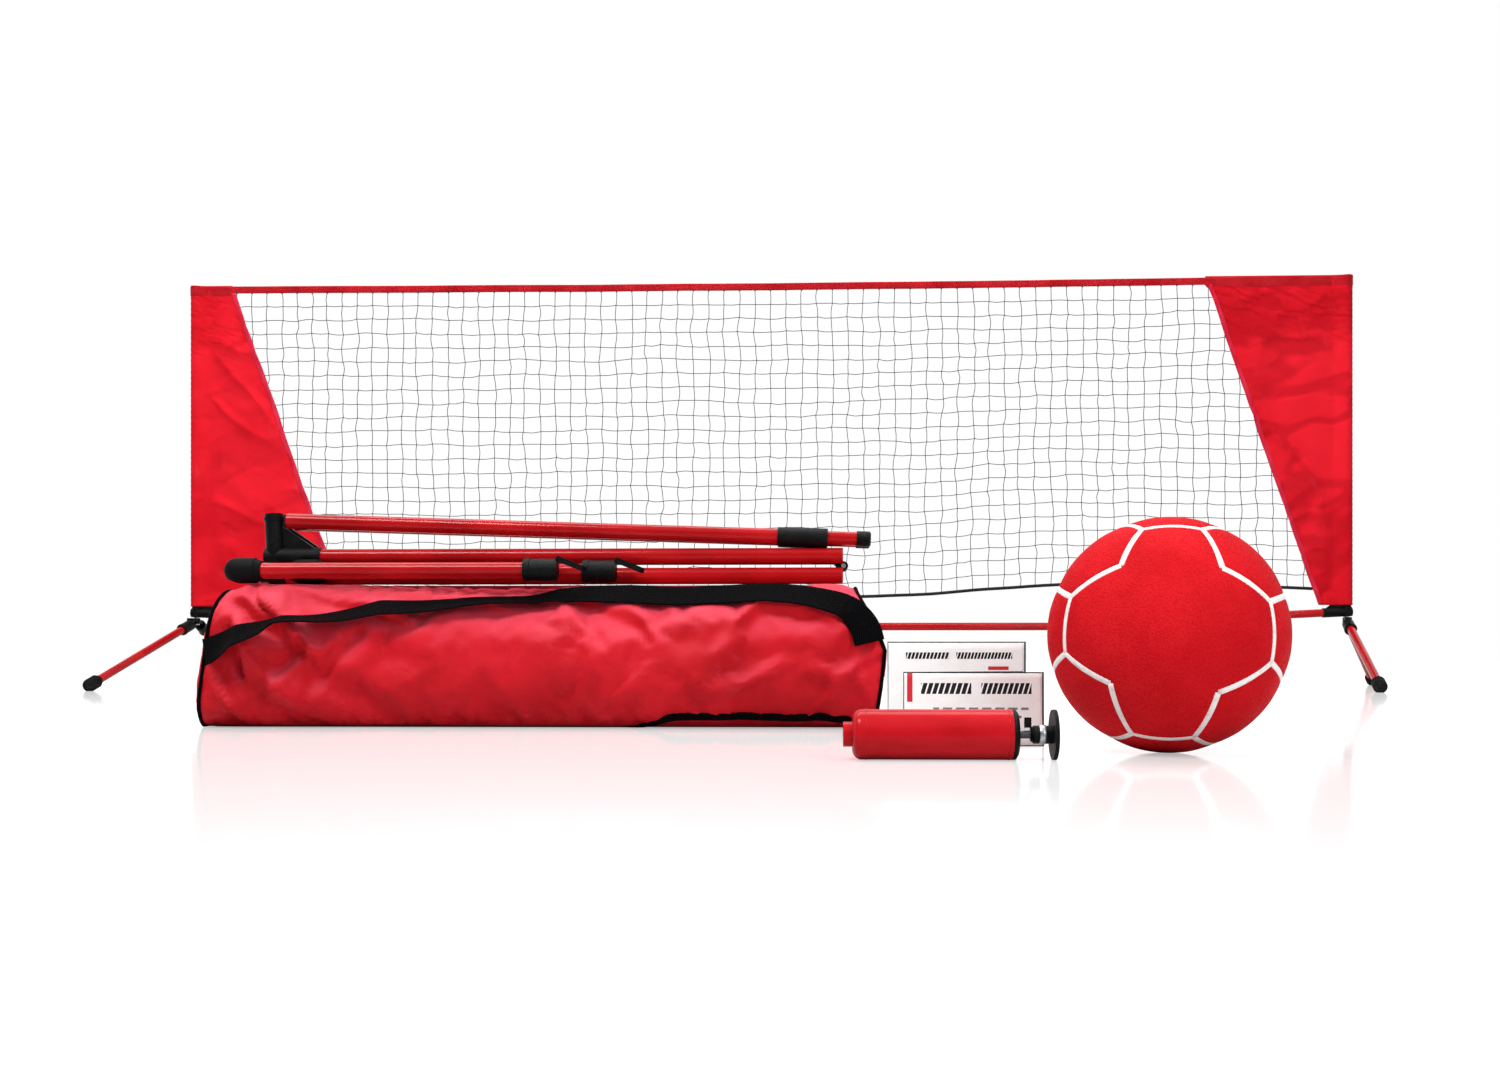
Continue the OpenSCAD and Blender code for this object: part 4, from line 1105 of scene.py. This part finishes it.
def shoulder_strap(bag):
    """Webbing from the left end seam over the front's upper edge to the right end seam, laid on the cloth."""
    half, thick, corner = 0.0185, 0.0011, 0.085
    skin = BVHTree.FromPolygons([v.co.copy() for v in bag.data.vertices],
                                [tuple(f.vertices) for f in bag.data.polygons])
    core_y, core_z = bag_y - bag_half + corner, bag_tall - corner
    marks = [Vector((along / 1000, high / 1000, lean)) for along, high, lean in strap_marks]
    route = [a + (b - a) * (k / 8) for a, b in zip(marks, marks[1:]) for k in range(8)] + marks[-1:]
    route = softened(route, 10)
    centres, ways = [], []
    for along, high, lean in route:
        turn = acos(max(0.0, min(1.0, (high - core_z) / corner)))
        away = Vector((0, -sin(turn), cos(turn)))
        start = Vector((bag_x0 + (bag_x1 - bag_x0) * along, core_y, min(high, core_z))) + away * 0.16
        hit = skin.ray_cast(start, -away)[0]
        centres.append((hit or start - away * 0.10) + away * 0.0022)
        ways.append(away)
    stations = [at.x for at in centres]
    centres = [Vector((x, at.y, at.z)) for x, at in zip(stations, softened(centres, 40))]
    points, rows, lifted = [], len(centres), []
    section = [(a, 1) for a in (-1, -0.9, -0.45, 0, 0.45, 0.9, 1)]
    section += [(-a, -1) for a, h in section]
    for k, at in enumerate(centres):
        lean = radians(route[k][2])
        ahead = heading(centres, k)
        face = Vector((0, -sin(lean), cos(lean)))
        face = (face - ahead * face.dot(ahead)).normalized()
        across = face.cross(ahead).normalized()
        need = 0.0
        for a, h in section:
            edge = 0.5 if abs(a) == 1 else 1.0
            q = at + across * a * half + face * (h * thick * edge + 0.0016 * (a * a - 0.4))
            points.append(q)
            hit = skin.ray_cast(q + ways[k] * 0.09, -ways[k])[0] if h < 0 else None
            if hit:
                need = max(need, (hit - q).dot(ways[k]) + 0.0012)
        lifted.append(min(need, 0.026))
    # the web lies on the highest folds
    for _ in range(30):
        beside = [(lifted[max(k - 1, 0)] + lifted[min(k + 1, rows - 1)]) / 2 for k in range(rows)]
        lifted = [max(own, other) for own, other in zip(lifted, beside)]
    n = len(section)
    final = [points[k * n + j] + ways[k] * lifted[k] for k in range(rows) for j in range(n)]
    made = piece("shoulder_strap", final, tube(rows, n), web_black)
    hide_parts("bag_strap")


def bag_zip():
    """Woven tape with a coil of small teeth down its middle, on the back of the bag."""
    low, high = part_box("bag_zip")
    middle, rows, points = (low[2] + high[2]) / 2, 180, []
    outline = [(-0.012, -0.0005), (0.012, -0.0005), (0.012, 0.0004), (0.0035, 0.0006), (-0.0035, 0.0006),
               (-0.012, 0.0004)]
    for k in range(rows):
        x = low[0] + (high[0] - low[0]) * k / (rows - 1)
        for a, b in outline:
            y = high[1] - 0.0008 + b + 0.0004 * wave(x, a, 0, 0.05, 3)
            points.append(Vector((x, y, middle + a)))
    faces = tube(rows, len(outline), flipped=True)
    tape = piece("zip_tape", points, faces, zip_black)
    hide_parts("bag_zip")
    points, faces = [], []
    margin, pitch = 0.006, 0.0028
    x = low[0] + margin
    while x < high[0] - margin:
        for side in (-1, 1):
            bend = ((-0.0002, 0.0030), (0.0006, 0.0012), (0.0004, -0.0008))
            route = [(x + side * 0.0007, high[1] + out, middle + side * up) for out, up in bend]
            add_swept(points, faces, route, ring(0.00055, 5), up=Vector((1, 0, 0)))
        x += pitch
    piece("zip_teeth", points, faces, zip_black)


bag = bag_cloth()
bag_piping(bag)
shoulder_strap(bag)
bag_zip()


# ---- floor, light, camera
def white_floor():
    """A large pale floor that shows white to the camera and keeps the set's shadow."""
    ground = bpy.data.meshes.new("floor")
    ground.from_pydata([(-9, -6, 0), (9, -6, 0), (9, 12, 0), (-9, 12, 0)], [], [(0, 1, 2, 3)])
    added("floor", ground)
    p = Paint("white_floor", Specular_IOR_Level=0.5)
    p.finish(srgb(212, 212, 212), 0.07 + 0.03 * p.noise(3, 2))
    straight = p.node("LightPath", out="Is Camera Ray")
    lift = p.node("Emission", None, (1, 1, 1, 1), straight * 0.42)
    both = p.node("AddShader", None, Field(p, p.surface.outputs[0]), lift)
    p.tree.links.new(both.socket, p.tree.nodes["Material Output"].inputs[0])
    ground.materials.append(p.material)


def white_room():
    """A bright backdrop and roof, and a dim room in front."""
    world = bpy.data.worlds.new("studio")
    world.use_nodes = True
    bpy.context.scene.world = world
    sky = Nodes(world.node_tree)
    x, y, z = sky.axes(sky.node("TexCoord", out="Generated"))
    room = y.rise(-0.15, 0.35, 0.10, 0.95).most(z.rise(0.45, 0.80, 0.0, 1.0))
    straight = sky.node("LightPath", out="Is Camera Ray")
    glossy = sky.node("LightPath", out="Is Glossy Ray")
    backdrop = sky.tree.nodes["Background"]
    sky.feed(backdrop.inputs["Strength"], straight.most(room * (0.56 + 0.44 * glossy)))
    backdrop.inputs["Color"].default_value = (1, 1, 1, 1)


def aimed(name, data, at, way):
    """A lamp or camera at a place, looking along a direction."""
    holder = added(name, data)
    holder.location = at
    holder.rotation_euler = way.to_track_quat("-Z", "Y").to_euler()
    return holder


def softbox(name, at, aim, size, watts):
    lamp = bpy.data.lights.new(name, "AREA")
    lamp.shape, lamp.energy = "RECTANGLE", watts
    lamp.size, lamp.size_y = size
    aimed(name, lamp, at, Vector(aim) - Vector(at))


white_floor()
white_room()
softbox("key", (-1.7, -2.7, 3.5), (0, -0.2, 0.2), (2.2, 1.2), 140)
softbox("fill", (1.9, -3.6, 1.5), (0.1, 0, 0.2), (1.8, 1.6), 52)
softbox("top", (0, 0.2, 3.4), (0, -0.2, 0), (4.4, 1.4), 90)
camera = aimed("camera", bpy.data.cameras.new("camera"), (0.0737, -2.7952, 0.095),
               Vector((-0.0401, 0.9992, 0)))
camera.data.lens, camera.data.sensor_width, camera.data.shift_y = 36, 36, 0.074
camera.data.clip_end = 60
bpy.context.scene.camera = camera
bpy.context.scene.view_settings.view_transform = "Standard"
